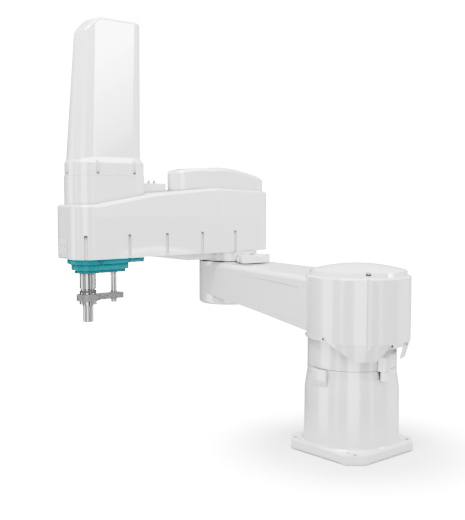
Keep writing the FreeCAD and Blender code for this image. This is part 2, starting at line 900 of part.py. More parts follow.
def upper_link():
    """Neck over the base, tapered box beam and the elbow housing, cast in one."""
    outer = common("beam_outer", [
        side_prism("beam_side_prism", beam_side("0"), "4*beam_root_half"),
        top_prism("beam_plan_prism", beam_plan("0"), "beam_root_low - overrun", "beam_elbow_top + overrun")])

    def long_top(edge):
        box = edge.BoundBox
        return box.XLength > cell("upper_reach") / 2 and box.ZMin > cell("beam_root_top") - 1

    bevelled = rounded("beam_bevelled", outer, long_top, cell("beam_bevel"))
    neck = cylinder("neck_outer", "neck_radius", "seam_height + seam_gap", "tub_top")
    elbow = cylinder("elbow_outer", "elbow_radius", "elbow_low", "beam_elbow_top")

    def foot(edge):
        return circular(edge) and edge.BoundBox.ZMax < cell("elbow_low") + 1

    bind(elbow, "Placement.Base.x", "upper_reach")
    elbow = rounded("elbow_rounded", elbow, foot, cell("elbow_fillet"))
    whole = fused("upper_outer", [bevelled, neck, elbow])

    tools = [
        cylinder("neck_hollow", "neck_bore", "seam_height", "first_hub_top + seat_gap + first_output_thick"),
        cylinder("web_hole", "first_output_radius/2", "seam_height", "tub_top"),
        cylinder("motor_well_cut", "motor_well", web_top(), "cap_top"),
        common("beam_inner", [
            side_prism("beam_side_inner", beam_side("beam_wall", CAVITY_END), "4*beam_root_half"),
            top_prism("beam_plan_inner", beam_plan("beam_wall", CAVITY_END),
                      "beam_root_low - overrun", "beam_elbow_top + overrun")]),
        cylinder("elbow_hollow", "elbow_bore", "elbow_low + elbow_floor", "beam_elbow_top + 1",
                 "upper_reach"),
        cylinder("elbow_step", "second_flange_radius + seat_gap", "beam_elbow_top - second_flange_thick",
                 "beam_elbow_top + 1", "upper_reach"),
        lying_cylinder("cable_way", "cable_hole", "2*beam_wall + elbow_radius - elbow_bore + 4*overrun",
                       FORWARD, (CAVITY_END + " - 2*overrun", "0",
                                 "elbow_low + elbow_floor + 3*cable_hole/2")),
    ]
    for side, name in ((1, "near"), (-1, "far")):
        tools.append(side_recess(name, side))
    tick = sector("tick_mark", "neck_radius - tick_depth", "neck_radius + 1", "seam_height",
                  "seam_height + seam_gap + tick_height", "tick_spread")
    tick.Placement = FreeCAD.Placement(FreeCAD.Vector(), FreeCAD.Rotation(UP, cell("tick_angle")))
    tools.append(tick)
    seated(cut("upper_shape", whole, tools), "upper_link_casting", turn=-90)


CAVITY_END = "upper_reach - elbow_radius"


def web_top():
    return "first_hub_top + seat_gap + first_output_thick + web_thick"


def side_recess(name, side):
    """The shallow panel sunk into one flank of the beam, with its pointed elbow end."""
    low = "recess_rim"
    outline = [
        ("recess_start", "beam_root_low + 2*recess_rim"), ("beam_mid", f"beam_mid_low + {low}"),
        ("recess_end - recess_toe", f"beam_elbow_low + {low}"),
        ("recess_end", "beam_elbow_low + recess_point"),
        ("recess_end - recess_heel", "beam_elbow_top - beam_bevel - recess_rim"),
        ("recess_start", "beam_root_top - beam_bevel - 2*recess_rim")]
    half = "2*beam_root_half"
    panel = side_prism(f"recess_{name}_prism", outline, "8*beam_root_half")
    skin = beam_plan("recess_depth", "upper_reach + elbow_radius")
    far = f"0 - {half}" if side < 0 else half
    edge = (skin[3], skin[2]) if side > 0 else (skin[0], skin[1])
    strip = top_prism(f"recess_{name}_plan",
                      [edge[0], edge[1], ("upper_reach + elbow_radius", far), ("beam_root", far)],
                      "elbow_low", "cap_top")
    return common(f"recess_{name}", [panel, strip])


def motor(name, side, tall, flange, base, cap):
    """A square servo motor on its flange, with the encoder cap and the shaft below."""
    half = f"{side}/2"
    outline = [(f"-{half}", f"-{half}"), (half, f"-{half}"), (half, half), (f"-{half}", half)]
    mount = f"{flange}/2"
    plate = [(f"-{mount}", f"-{mount}"), (mount, f"-{mount}"), (mount, mount), (f"-{mount}", mount)]
    foot = rounded(f"{name}_foot", top_prism(f"{name}_flange", plate, base, f"{base} + motor_flange_thick"),
                   upright, worth(flange) / 12)
    can = rounded(f"{name}_can", top_prism(f"{name}_case", outline, f"{base} + motor_flange_thick - 1",
                                           f"{base} + {tall}"), upright, worth(side) / 10)
    lid = rounded(f"{name}_lid", top_prism(f"{name}_cap", outline, f"{base} + {tall} + motor_cap_gap",
                                           f"{base} + {tall} + {cap}"), upright, worth(side) / 5)
    throat = cylinder(f"{name}_throat", f"{half} - overrun", f"{base} + {tall} - 1",
                      f"{base} + {tall} + motor_cap_gap + 1")
    return fused(f"{name}_body", [foot, can, lid, throat])


def first_drive():
    """The first joint's motor, standing on the neck's web."""
    body = motor("first_motor", "first_motor_side", "first_motor_tall",
                 "first_motor_flange", web_top(), "motor_cap_tall")
    shaft = cylinder("first_motor_shaft", "motor_shaft_radius", "first_hub_top - first_spigot_depth + 4",
                     f"{web_top()} + 1")
    seated(fused("first_motor_whole", [body, shaft]), "j1_motor", turn=-90)


def polar(radius, angle):
    """The two formulas of a point at a radius and an angle about the origin."""
    return f"{radius}*cos({angle})", f"{radius}*sin({angle})"


def sphere(name, radius, top):
    """A ball whose highest point is at a height."""
    ball = doc.addObject("Part::Sphere", name)
    bind(ball, "Radius", radius)
    bind(ball, "Placement.Base.z", f"{top} - ({radius})")
    return ball


def domed(name, wall):
    """The first cover's filled form, drawn in by a wall: skirt, drum, ledge and dome."""
    rise = "(cap_top - cap_ledge)"
    dome = f"((cap_ledge_radius*cap_ledge_radius + {rise}*{rise})/(2*{rise}))"
    rim = f"cap_radius - {wall}"
    top = f"cap_shoulder - {wall}"
    drum = turned(f"{name}_drum", [
        ("0", "skirt_low - 1"), (f"skirt_radius - {wall}", "skirt_low - 1"), (rim, "cap_low"),
        (rim, f"{top} - cap_edge"), (f"{rim} - 0.3*cap_edge", f"{top} - 0.3*cap_edge"),
        (f"{rim} - cap_edge", top), (f"cap_ledge_radius + cap_step - {wall}", f"{top} + cap_step"),
        (f"cap_ledge_radius - {wall}", f"cap_ledge - {wall}"),
        (f"cap_ledge_radius - {wall}", f"cap_top - {wall}"), ("0", f"cap_top - {wall}")])
    bowl = sphere(f"{name}_bowl", f"({dome} - {wall})", f"cap_top - {wall}")
    return common(f"{name}_form", [drum, bowl])


def first_cover():
    """The domed cover over the first motor, open to the beam and scalloped round the neck."""
    outer = domed("cap_outer", "0")
    inner = domed("cap_inner", "cap_wall")
    posts = []
    flutes = []
    for n, angle in enumerate(("cap_rear_angle", "-cap_rear_angle")):
        across, along = polar("(cap_radius + flute_radius/2)", angle)
        flutes.append(cylinder(f"cap_flute_{n}", "flute_radius", "skirt_low - 2", "cap_pocket_floor",
                               across, along))
        posts.append(cylinder(f"cap_flute_wall_{n}", "flute_radius + cap_wall", "skirt_low - 2",
                              "cap_top", across, along))
    pockets = []
    screws = []
    for n, angle in enumerate(("cap_front_angle", "-cap_front_angle", "cap_rear_angle", "-cap_rear_angle")):
        across, along = polar("cap_pocket_out", angle)
        pockets.append(cylinder(f"cap_pocket_{n}", "cap_pocket", "cap_pocket_floor", "cap_top",
                                across, along))
        lip_x, lip_y = polar("(cap_pocket_out + cap_pocket)", angle)
        pockets.append(cylinder(f"cap_pocket_lip_{n}", "cap_pocket", "cap_pocket_floor", "cap_top",
                                lip_x, lip_y))
        posts.append(cylinder(f"cap_pocket_wall_{n}", "cap_pocket + cap_wall",
                              "cap_pocket_floor - 4*cap_wall", "cap_top", across, along))
        head = cylinder(f"cap_head_{n}", "cap_screw_head", "cap_pocket_floor",
                        "cap_pocket_floor + cap_screw_head", across, along)
        shank = cylinder(f"cap_shank_{n}", "cap_screw_head/2", "cap_pocket_floor - 3*cap_wall",
                         "cap_pocket_floor + 1", across, along)
        screws.append(fused(f"cap_screw_{n}", [head, shank]))
        pockets.append(cylinder(f"cap_screw_way_{n}", "cap_screw_head/2 + seat_gap",
                                "cap_pocket_floor - 5*cap_wall", "cap_top", across, along))
    hollow = cut("cap_hollow", inner, posts)
    gate = block("cap_gate", ("0", "-beam_root_half - 1", "skirt_low - 2"),
                 ("2*cap_radius", "beam_root_half + 1", "beam_root_top + cap_gate_gap"))
    front = side_prism("cap_front_cut", [
        ("2*cap_radius", "skirt_low - skirt_lip"), ("cap_offset - skirt_edge_low", "skirt_low - skirt_lip"),
        ("cap_offset - skirt_edge_low", "skirt_low + skirt_lip"),
        ("cap_offset - skirt_edge_high", "cap_low + cap_wall"),
        ("2*cap_radius", "cap_low + cap_wall")], "4*cap_radius")
    notch = end_prism("cap_notch_cut", [
        ("-skirt_notch_far", "skirt_low - skirt_lip"), ("skirt_notch_wide", "skirt_low - skirt_lip"),
        ("skirt_notch_wide", "skirt_low"), ("skirt_notch_narrow", "skirt_notch_top"),
        ("-skirt_notch_far", "skirt_notch_top")],
        "-2*cap_radius", "2*cap_radius - skirt_notch_from")
    plates = []
    holes = []
    lug_screws = []
    spots = [(side, angle, height) for side in (1, -1) for angle, height in (
        ("lug_first_angle", "lug_height"), ("lug_second_angle", "lug_height"),
        ("lug_rear_angle", "lug_rear_height"))]
    for n, (side, angle, height) in enumerate(spots):
        turn = math.radians(side * cell(angle))
        direction = FreeCAD.Vector(math.cos(turn), math.sin(turn), 0)

        def stud(name, radius, start, length):
            spot = (f"({start})*cos({angle})", f"{side}*({start})*sin({angle})", height)
            return lying_cylinder(f"{name}_{n}", radius, length, direction, spot)

        plates.append(stud("cap_lug", "lug_radius", "cap_radius - cap_wall", "cap_wall + lug_thick"))
        holes.append(stud("cap_lug_hole", "lug_screw_radius/2 + seat_gap", "cap_radius - 4*cap_wall",
                          "6*cap_wall"))
        head = stud("lug_head", "lug_screw_radius", "cap_radius + lug_thick", "lug_head_tall")
        shank = stud("lug_shank", "lug_screw_radius/2", "cap_radius - 2*cap_wall",
                     "2*cap_wall + lug_thick + lug_head_tall/2")
        lug_screws.append(fused(f"lug_screw_{n}", [head, shank]))
    for side in (1, -1):
        band = sector(f"cap_lug_band_{side + 1}", "cap_radius - cap_wall/2", "cap_radius + lug_thick",
                      "lug_height - lug_radius", "lug_height + lug_radius",
                      "lug_second_angle - lug_first_angle")
        middle = side * (cell("lug_first_angle") + cell("lug_second_angle")) / 2
        band.Placement = FreeCAD.Placement(FreeCAD.Vector(), FreeCAD.Rotation(UP, middle))
        plates.append(band)
    shell = cut("cap_shell", outer, [hollow, gate, front, notch] + flutes + pockets)
    plated = cut("cap_plated", fused("cap_with_lugs", [shell] + plates), holes)
    seated(plated, "j1_motor_cover", along="cap_offset", turn=-90)
    seated(gathered("cap_screw_set", screws), "j1_cover_screws", along="cap_offset", turn=-90)
    seated(gathered("lug_screw_set", lug_screws), "j1_lug_screws", along="cap_offset", turn=-90)


def moving_stop():
    """The bracket on the neck whose sleeved pin meets the wedge on the base ring."""
    angle = cell("moving_stop_angle") - 90
    bracket = top_prism("stop_bracket", [
        ("neck_radius - overrun", "-moving_stop_width/2"), ("moving_stop_out", "-moving_stop_width/2"),
        ("moving_stop_out + moving_stop_deep", "-moving_stop_width/2 + moving_stop_corner"),
        ("moving_stop_out + moving_stop_deep", "moving_stop_width/2 - moving_stop_corner"),
        ("moving_stop_out", "moving_stop_width/2"), ("neck_radius - overrun", "moving_stop_width/2")],
        "seam_height + seam_gap", "moving_stop_top")
    slope = side_prism("stop_slope", [
        ("moving_stop_out - 3", "moving_stop_top + 1"), ("2*moving_stop_out", "moving_stop_top + 1"),
        ("2*moving_stop_out", "moving_stop_top - 2*moving_stop_deep"),
        ("moving_stop_out + moving_stop_deep", "moving_stop_top - moving_stop_deep")],
        "2*moving_stop_width")
    seat = cylinder("stop_seat", "neck_radius + seat_gap", "seam_height", "moving_stop_top + 2")
    pin = cylinder("stop_pin", "stop_pin_radius", "seam_height + seam_gap - stop_pin_drop",
                   "seam_height + seam_gap + 1", "stop_pin_out")
    shape = fused("stop_whole", [cut("stop_body", bracket, [slope, seat]), pin])
    seated(shape, "j1_moving_stop", turn=angle)
    sleeve = ring("stop_sleeve", "(stop_pin_radius + running_fit)", "(stop_pin_radius + stop_pin_sleeve)",
                  "seam_height + seam_gap - stop_pin_drop + 1", "seam_height + seam_gap - seat_gap")
    across = f"stop_pin_out*cos({angle})"
    along = f"stop_pin_out*sin({angle})"
    seated(sleeve, "j1_stop_bumper", across=across, along=along)


def second_joint():
    """The elbow's reducer, its seal, and the saddle that limits the fore link's swing."""
    top = "beam_elbow_top"
    bore = "second_spigot_radius"
    case = turned("second_case", [
        ("motor_shaft_radius + coupling_room", f"{top} - second_case_depth"),
        ("elbow_bore - seat_gap", f"{top} - second_case_depth"),
        ("elbow_bore - seat_gap", f"{top} - second_flange_thick"),
        ("second_flange_radius", f"{top} - second_flange_thick"), ("second_flange_radius", top),
        (bore, top), (bore, f"{top} - second_spigot_depth - 4"),
        ("motor_shaft_radius + coupling_room", f"{top} - second_spigot_depth - 4")])
    seated(case, "j2_reducer_case", along="-upper_reach")
    spigot = "second_spigot_radius - running_fit"
    output = turned("second_output", [
        ("motor_shaft_radius + coupling_room/2", f"{top} - second_spigot_depth"),
        (spigot, f"{top} - second_spigot_depth"),
        (spigot, f"{top} + seat_gap"), ("second_output_radius", f"{top} + seat_gap"),
        ("second_output_radius", f"{top} + elbow_gap"),
        ("motor_shaft_radius + coupling_room/2", f"{top} + elbow_gap")])
    seated(output, "j2_output_flange", along="-upper_reach")
    seal = ring("elbow_ring", "elbow_seal_inner", "elbow_seal_outer", top, f"{top} + elbow_gap - seat_gap")
    seated(seal, "j2_seal", along="-upper_reach")

    half = cell("saddle_angle") / 2
    saddle = sector("saddle_form", "saddle_inner", "saddle_outer", top, "saddle_top", "saddle_angle")
    dip = doc.addObject("Part::Cylinder", "saddle_dip_tool")
    dip.Placement = FreeCAD.Placement(FreeCAD.Vector(), FreeCAD.Rotation(FreeCAD.Vector(0, 1, 0), 90))
    bind(dip, "Radius", "saddle_dip")
    bind(dip, "Height", "2*saddle_outer")
    bind(dip, "Placement.Base.z", "saddle_top + saddle_dip - saddle_dip_depth")
    shaped = rounded("saddle_rounded", saddle, upright, cell("saddle_corner"))
    seated(cut("saddle_shape", shaped, [dip]), "j2_stop_block", along="-upper_reach", turn=90)
    for side, name in ((-1, "j2_stop_bumper_near"), (1, "j2_stop_bumper_far")):
        pad = sector(f"{name}_form", "bumper_inner", "bumper_outer", f"{top} + 3", f"{top} + bumper_rise",
                     "bumper_angle")
        turn = 90 + side * (half + cell("bumper_angle") / 2)
        shape = rounded(f"{name}_shape", pad, upright, cell("bumper_corner"))
        seated(shape, name, along="-upper_reach", turn=turn)


def sector(name, inner, outer, low, high, angle):
    """Part of a ring, centred on +X."""
    body = doc.addObject("PartDesign::Body", name)
    sketch = body_sketch(body, "XZ_Plane", name + "_profile")
    add_lines(sketch, [(inner, low), (outer, low), (outer, high), (inner, high)])
    turn = body.newObject("PartDesign::Revolution", name + "_turn")
    turn.Profile = sketch
    turn.ReferenceAxis = (sketch, ["V_Axis"])
    turn.Midplane = True
    bind(turn, "Angle", angle)
    body.Tip = turn
    return body


def fore_form(name, wall, floor):
    """The fore link's filled form drawn in by a wall: plan, side and end outlines in common."""
    front = f"fore_reach + fore_front - {wall}"
    rear = f"{wall} - fore_rear"
    half = f"fore_half - {wall}"
    plan = rounded(f"{name}_plan", top_prism(f"{name}_plan_prism", [
        (rear, f"0 - ({half})"), (front, f"0 - ({half})"), (front, half), (rear, half)],
        floor, "fore_peak_top + 4*overrun"), upright, cell("fore_corner") - worth(wall))
    side = side_prism(f"{name}_side", [
        ("-2*fore_rear", floor), ("fore_reach + 2*fore_front", floor),
        ("fore_reach + 2*fore_front", f"fore_front_top - {wall}"),
        ("fore_reach + fore_front_slope", f"fore_front_top - {wall}"),
        ("fore_bow_at", f"fore_bow_top - {wall}"), ("fore_peak_at", f"fore_peak_top - {wall}"),
        ("-2*fore_rear", f"fore_tail_top - {wall}")], "4*fore_half")
    lean = f"{half} - fore_draft"
    end = end_prism(f"{name}_end", [
        (f"0 - ({half})", floor), (half, floor), (half, "fore_crease"), (lean, "fore_peak_top + 4*overrun"),
        (f"0 - ({lean})", "fore_peak_top + 4*overrun"), (f"0 - ({half})", "fore_crease")],
        "-2*fore_rear", "fore_reach + 2*fore_rear + 2*fore_front")
    return common(f"{name}_form", [plan, side, end])


def flute_spots():
    """Where the screw flutes stand on one flank: four in a row and one on the front corner."""
    spots = [(f"side_flute_first + {n}*side_flute_pitch", "side_flute_out") for n in range(4)]
    spots.append(("corner_flute_at", "corner_flute_side"))
    return spots


def fore_cover():
    """The tall cover of the fore link: fluted flanks, a bowed roof and two openings for the drives."""
    outer = fore_form("fore_outer", "0", "fore_low")
    inner = fore_form("fore_inner", "fore_wall", "fore_low - 1")

    def roof_edge(edge):
        box = edge.BoundBox
        return box.ZMin > cell("fore_front_top") - 1

    outer = rounded("fore_outer_rounded", outer, roof_edge, cell("fore_edge"))
    flutes = []
    posts = []
    screws = []
    for side in (1, -1):
        for n, (across, along) in enumerate(flute_spots()):
            spot = along if side > 0 else f"0 - {along}"
            tag = f"{n}_{'near' if side > 0 else 'far'}"
            flutes.append(cylinder(f"fore_flute_{tag}", "side_flute_radius", "fore_low - 1",
                                   "side_flute_top", across, spot))
            posts.append(cylinder(f"fore_flute_wall_{tag}", "side_flute_radius + fore_wall - 1",
                                  "fore_low - 2", "side_flute_top + fore_wall", across, spot))
            head = cylinder(f"fore_head_{tag}", "cover_screw_head", "side_flute_top - cover_screw_head_tall",
                            "side_flute_top", across, f"{spot} - {side}*cover_screw_in")
            screws.append(head)
    shell = cut("fore_shell", outer, [cut("fore_hollow", inner, posts)] + flutes)
    return outer, shell, screws


# heights of the quill tower, each on the one below it
TOWER_SEAM = "(fore_tail_top + tower_rise)"
HOOD_SKIRT = f"({TOWER_SEAM} + hood_skirt_tall)"
HOOD_SHOULDER = f"({HOOD_SKIRT} + hood_shoulder_tall)"
HOOD_TOP = f"({HOOD_SHOULDER} + hood_tall)"
HOOD_SPAN = "tower_back + hood_front_shift"
HOOD_FALL = "(hood_base_half - hood_top_half)/hood_tall"


def build_fore_link():
    outer, shell, screws = fore_cover()
    tower_way = slot_prism("tower_way", "fore_reach - tower_back", "fore_reach",
                           "tower_half - 2*tower_wall", "fore_crease", TOWER_SEAM)
    hump_way = cylinder("hump_way", "hump_half - 3*hump_wall", "fore_crease", "hump_top")
    notch = block("heel_cut", ("-2*fore_rear", "-2*fore_half", "fore_low - 1"),
                  ("heel_notch - fore_rear", "2*fore_half", "fore_low + heel_notch_height"))
    seated(cut("fore_cover_shape", shell, [tower_way, hump_way, notch]), "fore_link_cover",
           along="-upper_reach")
    seated(gathered("fore_screw_set", screws), "fore_cover_screws", along="-upper_reach")
    return outer


def fore_casting():
    """The tray under the cover, with the elbow boss, the keel and the two nut housings."""
    inset = "(fore_wall + seat_gap)"
    tray = fore_form("tray", inset, "fore_low")
    slab = block("tray_slab", ("-2*fore_rear", "-fore_half", "fore_low"),
                 ("fore_reach + 2*fore_front", "fore_half", "fore_low + tray_thick"))
    spread = rounded("keel_shape", side_prism("keel_prism", [
        ("boss_radius/2", "fore_low"), ("boss_radius/2", "keel_low"), ("keel_turn", "keel_low"),
        ("keel_end", "fore_low")], "2*keel_half"), long_low_edge, cell("keel_edge"))
    boss = cylinder("elbow_boss", "boss_radius", "beam_elbow_top + elbow_gap", "fore_low")
    housing = "nut_housing"
    top = "fore_low + bearing_tall"
    screw = "fore_reach - screw_back"
    spline_seat = "spline_nut_radius + spline_bearing_wide + seat_gap"
    ball_seat = "ball_nut_radius + ball_bearing_wide + seat_gap"
    whole = fused("tray_whole", [
        common("tray_floor", [tray, slab]), spread, boss,
        cylinder("spline_housing", f"{spline_seat} + {housing}/2", "fore_low", top, "fore_reach"),
        cylinder("ball_housing", f"{ball_seat} + {housing}/2", "fore_low", top, screw)])
    tools = [
        cylinder("elbow_boss_way", "2*motor_shaft_radius", "keel_low - 20", top),
        cylinder("spline_way", spline_seat, "keel_low", f"{top} + 1", "fore_reach"),
        cylinder("ball_way", ball_seat, "keel_low", f"{top} + 1", screw)]
    for side in (1, -1):
        for n, (across, along) in enumerate(flute_spots()):
            tools.append(cylinder(f"tray_post_{n}_{side + 1}", "side_flute_radius + fore_wall - 1 + seat_gap",
                                  "fore_low - 1", f"{top}", across, along if side > 0 else f"0 - {along}"))
    tools.append(block("tray_heel_cut", ("-2*fore_rear", "-2*fore_half", "fore_low - 1"),
                       ("heel_notch - fore_rear", "2*fore_half", f"{top}")))
    seated(cut("tray_shape", whole, tools), "fore_link_casting", along="-upper_reach")
    for name, axis, inner, wide in (("spline_nut_bearing", "fore_reach", "spline_nut_radius",
                                     "spline_bearing_wide"),
                                    ("ball_nut_bearing", screw, "ball_nut_radius", "ball_bearing_wide")):
        race = ring(name + "_ring", f"{inner} + running_fit", f"{inner} + {wide}", "fore_low",
                    f"{top} - seat_gap")
        seated(race, name, across=axis, along="-upper_reach")


def long_low_edge(edge):
    box = edge.BoundBox
    return box.XLength > 50 and box.ZMin < cell("keel_low") + 1


def second_drive():
    """The second joint's motor on the tray, inside the hump."""
    base = "fore_low + tray_thick"
    body = motor("second_motor", "second_motor_side", "second_motor_tall", "second_motor_flange", base,
                 "motor_cap_tall")
    shaft = cylinder("second_motor_shaft", "motor_shaft_radius", "beam_elbow_top - second_spigot_depth + 3",
                     f"{base} + 1")
    seated(fused("second_motor_whole", [body, shaft]), "j2_motor", along="-upper_reach")


def hump(roof):
    """The rounded housing over the second motor, seated on the fore link's roof."""
    def crease(edge):
        return not upright(edge) and edge.BoundBox.YLength > cell("hump_half") \
            and edge.BoundBox.ZMin > cell("hump_shoulder_top") - cell("hump_edge")

    def form(name, wall):
        half = f"hump_half - {wall}"
        rear = f"{wall} - hump_rear"
        facet = f"hump_facet_half - {wall}"
        box = top_prism(f"{name}_box", [
            (rear, f"0 - ({half})"), ("hump_turn_in", f"0 - ({half})"), ("hump_facet_at", f"0 - ({facet})"),
            ("hump_facet_at", facet), ("hump_turn_in", half), (rear, half)],
            "fore_crease", "hump_top + overrun")

        def rear_corner(edge):
            return upright(edge) and edge.BoundBox.XMax < 0

        tail = rounded(f"{name}_tail", box, rear_corner, cell("hump_corner") - worth(wall))
        nose = cylinder(f"{name}_nose", f"hump_nose - {wall}", "fore_crease", "hump_top + overrun",
                        "hump_nose_at")
        side = side_prism(f"{name}_side", [
            ("-2*hump_rear", "fore_crease"), ("4*hump_rear", "fore_crease"),
            ("4*hump_rear", f"hump_tip_top - {wall}"), ("hump_brow_at", f"hump_brow_top - {wall}"),
            ("hump_top_at", f"hump_top - {wall}"), ("hump_slope_from", f"hump_slope_top - {wall}"),
            ("-hump_shoulder_back", f"hump_shoulder_top - {wall}"),
            ("-2*hump_rear", f"hump_tail_top - {wall}")], "4*hump_half")
        crown = rounded(f"{name}_crown", side, crease, cell("hump_crown"))
        return common(f"{name}_form", [fused(f"{name}_plan", [tail, nose]), crown])

    def top_edge(edge):
        box = edge.BoundBox
        across = box.YLength > cell("hump_half") and box.XLength < 0.01
        return box.ZMin > cell("hump_tail_top") + cell("hump_corner")/2 and not across \
            and not upright(edge)

    outer = rounded("hump_outer_rounded", form("hump_outer", "0"), top_edge, cell("hump_edge"))
    inner = form("hump_inner", "hump_wall")
    seated(cut("hump_shape", outer, [roof, inner_below(inner, "hump_hollow", "hump_brow_top - hump_edge")]),
           "j2_motor_hump", along="-upper_reach")


def inner_below(inner, name, height):
    """The part of a hollow that lies below a height, so a rounded rim keeps its wall."""
    slab = block(name + "_slab", ("-4*fore_rear", "-4*fore_half", "0"),
                 ("2*fore_reach", "4*fore_half", height))
    return common(name, [inner, slab])


def tower(roof):
    """The quill tower: a straight lower column on the roof and the tapered hood above it."""
    back, front = "fore_reach - tower_back", "fore_reach"
    column = slot_prism("tower_outer", back, front, "tower_half", "fore_crease", TOWER_SEAM)
    inside = slot_prism("tower_inner", back, front, "tower_half - tower_wall", "fore_crease",
                        f"{TOWER_SEAM} + 1")
    seated(cut("tower_shape", column, [roof, inside]), "tower_column", along="-upper_reach")

    def hood(name, wall, top):
        half = f"hood_skirt_half - {wall}"
        skirt = slot_prism(f"{name}_skirt", back, front, half, TOWER_SEAM, HOOD_SKIRT)
        shoulder = tapered(f"{name}_shoulder", HOOD_SKIRT, HOOD_SHOULDER, half,
                           f"hood_base_half - {wall}", back, front)
        mast = tapered(f"{name}_mast", "-2*hood_shoulder_tall", "hood_tall + overrun",
                       f"hood_base_half - {wall} + 2*hood_shoulder_tall*{HOOD_FALL}",
                       f"hood_top_half - {wall} - overrun*{HOOD_FALL}",
                       f"-({HOOD_SPAN})/2", f"({HOOD_SPAN})/2")
        lean = math.degrees(math.atan2(cell("hood_lean"), cell("hood_tall")))
        mast.Placement = FreeCAD.Placement(FreeCAD.Vector(), FreeCAD.Rotation(ACROSS, -lean))
        bind(mast, "Placement.Base.x", f"{back} + ({HOOD_SPAN})/2")
        bind(mast, "Placement.Base.z", HOOD_SHOULDER)
        slope = f"fore_reach - hood_slope_back - {wall}"
        crown = side_prism(f"{name}_crown", [
            ("fore_reach/2", HOOD_SKIRT), ("fore_reach + fore_front", HOOD_SKIRT),
            ("fore_reach + fore_front", f"{top} - hood_slope*(hood_slope_back + fore_front + {wall})"),
            (slope, top), ("fore_reach/2", top)], "4*hood_skirt_half")

        def brow(edge):
            box = edge.BoundBox
            return abs(box.XMin - worth(slope)) < 0.01 and box.YLength > 1

        crown = rounded(f"{name}_crown_rounded", crown, brow, cell("hood_crown"))
        return skirt, shoulder, common(f"{name}_body", [mast, crown])

    def rim_edge(edge):
        box = edge.BoundBox
        tip = worth(HOOD_TOP) - cell("hood_slope") * (cell("hood_slope_back") + cell("hood_base_half"))
        return box.ZMin > tip and not (box.XLength < 0.01 and box.ZLength < 0.01)

    skirt, shoulder, body = hood("hood_outer", "0", HOOD_TOP)
    body = rounded("hood_rounded", body, rim_edge, cell("hood_edge"))
    inner_skirt, inner_shoulder, inner_body = hood("hood_inner", "hood_wall", f"{HOOD_TOP} - hood_wall")
    inner_body = rounded("hood_inner_rounded", inner_body, rim_edge, cell("hood_edge") - cell("hood_wall"))
    hollow = fused("hood_hollow", [inner_skirt, inner_shoulder, inner_body])
    spots = [(back, "hood_skirt_half"), (back, "-hood_skirt_half"), (front, "hood_skirt_half"),
             (front, "-hood_skirt_half"), (f"{front} + hood_skirt_half", "0"),
             (f"{back} - hood_skirt_half", "0")]
    screw_floor = f"({TOWER_SEAM} + hood_screw_rise)"
    flutes = []
    posts = []
    screws = []
    for n, (across, along) in enumerate(spots):
        flutes.append(cylinder(f"hood_flute_{n}", "hood_flute", screw_floor, f"{HOOD_SHOULDER} + 2",
                               across, along))
        posts.append(cylinder(f"hood_post_{n}", "hood_flute + hood_wall", f"{TOWER_SEAM} - 1",
                              f"{HOOD_SHOULDER} + hood_wall", across, along))
        screws.append(cylinder(f"hood_screw_{n}", "cover_screw_head", screw_floor,
                               f"{screw_floor} + hood_screw_tall",
                               drawn_in(across, front, back), drawn_in(along, "0", "0")))
    whole = fused("hood_whole", [skirt, shoulder, body])
    seated(cut("hood_shape", whole, [cut("hood_hollow_posts", hollow, posts)] + flutes), "tower_hood",
           along="-upper_reach")
    seated(gathered("hood_screw_set", screws), "tower_hood_screws", along="-upper_reach")


def drawn_in(text, front, back):
    """Moves one coordinate of a screw a little inward from its flute's axis."""
    if text.startswith(f"{front} +") or text == "hood_skirt_half":
        return f"{text} - cover_screw_in"
    if text.startswith(f"{back} -") or text == "-hood_skirt_half":
        return f"{text} + cover_screw_in"
    return text


def shroud():
    """The stepped shroud that hangs under the front of the fore link round the quill."""
    tiers = [("top", "fore_low", "shroud_top_low"), ("mid", "shroud_top_low", "shroud_mid_low"),
             ("low", "shroud_mid_low", "shroud_low")]

    def tier(name, size, wall, high, low):
        half = f"shroud_{size}_half - {wall}"
        rear = f"fore_reach - shroud_{size}_back + {wall}"
        nose = cylinder(f"{name}_nose", half, low, high, "fore_reach")
        tail = top_prism(f"{name}_tail", [
            (rear, f"0 - ({half})"), ("fore_reach", f"0 - ({half})"), ("fore_reach", half), (rear, half)],
            low, high)

        def rear_corner(edge):
            return upright(edge) and edge.BoundBox.XMax < cell("fore_reach") - 1

        return fused(f"{name}_tier", [nose, rounded(f"{name}_tail_round", tail, rear_corner,
                                                    cell("shroud_corner") - worth(wall))])

    outer = fused("shroud_outer", [tier(f"shroud_{size}", size, "0", high, low)
                                   for size, high, low in tiers])
    inner = fused("shroud_inner", [tier(f"shroud_in_{size}", size, "shroud_wall",
                                        "fore_low + 1" if size == "top" else f"{high} + shroud_wall + 1",
                                        f"{low} + shroud_wall") for size, high, low in tiers])
    ways = [cylinder("shroud_shaft_way", "shaft_radius + shroud_gap", "shroud_low - 1", "fore_low",
                     "fore_reach"),
            cylinder("shroud_screw_way", "screw_radius + shroud_gap", "shroud_low - 1", "fore_low",
                     "fore_reach - screw_back")]
    seated(cut("shroud_shape", outer, [inner] + ways), "quill_shroud", along="-upper_reach")


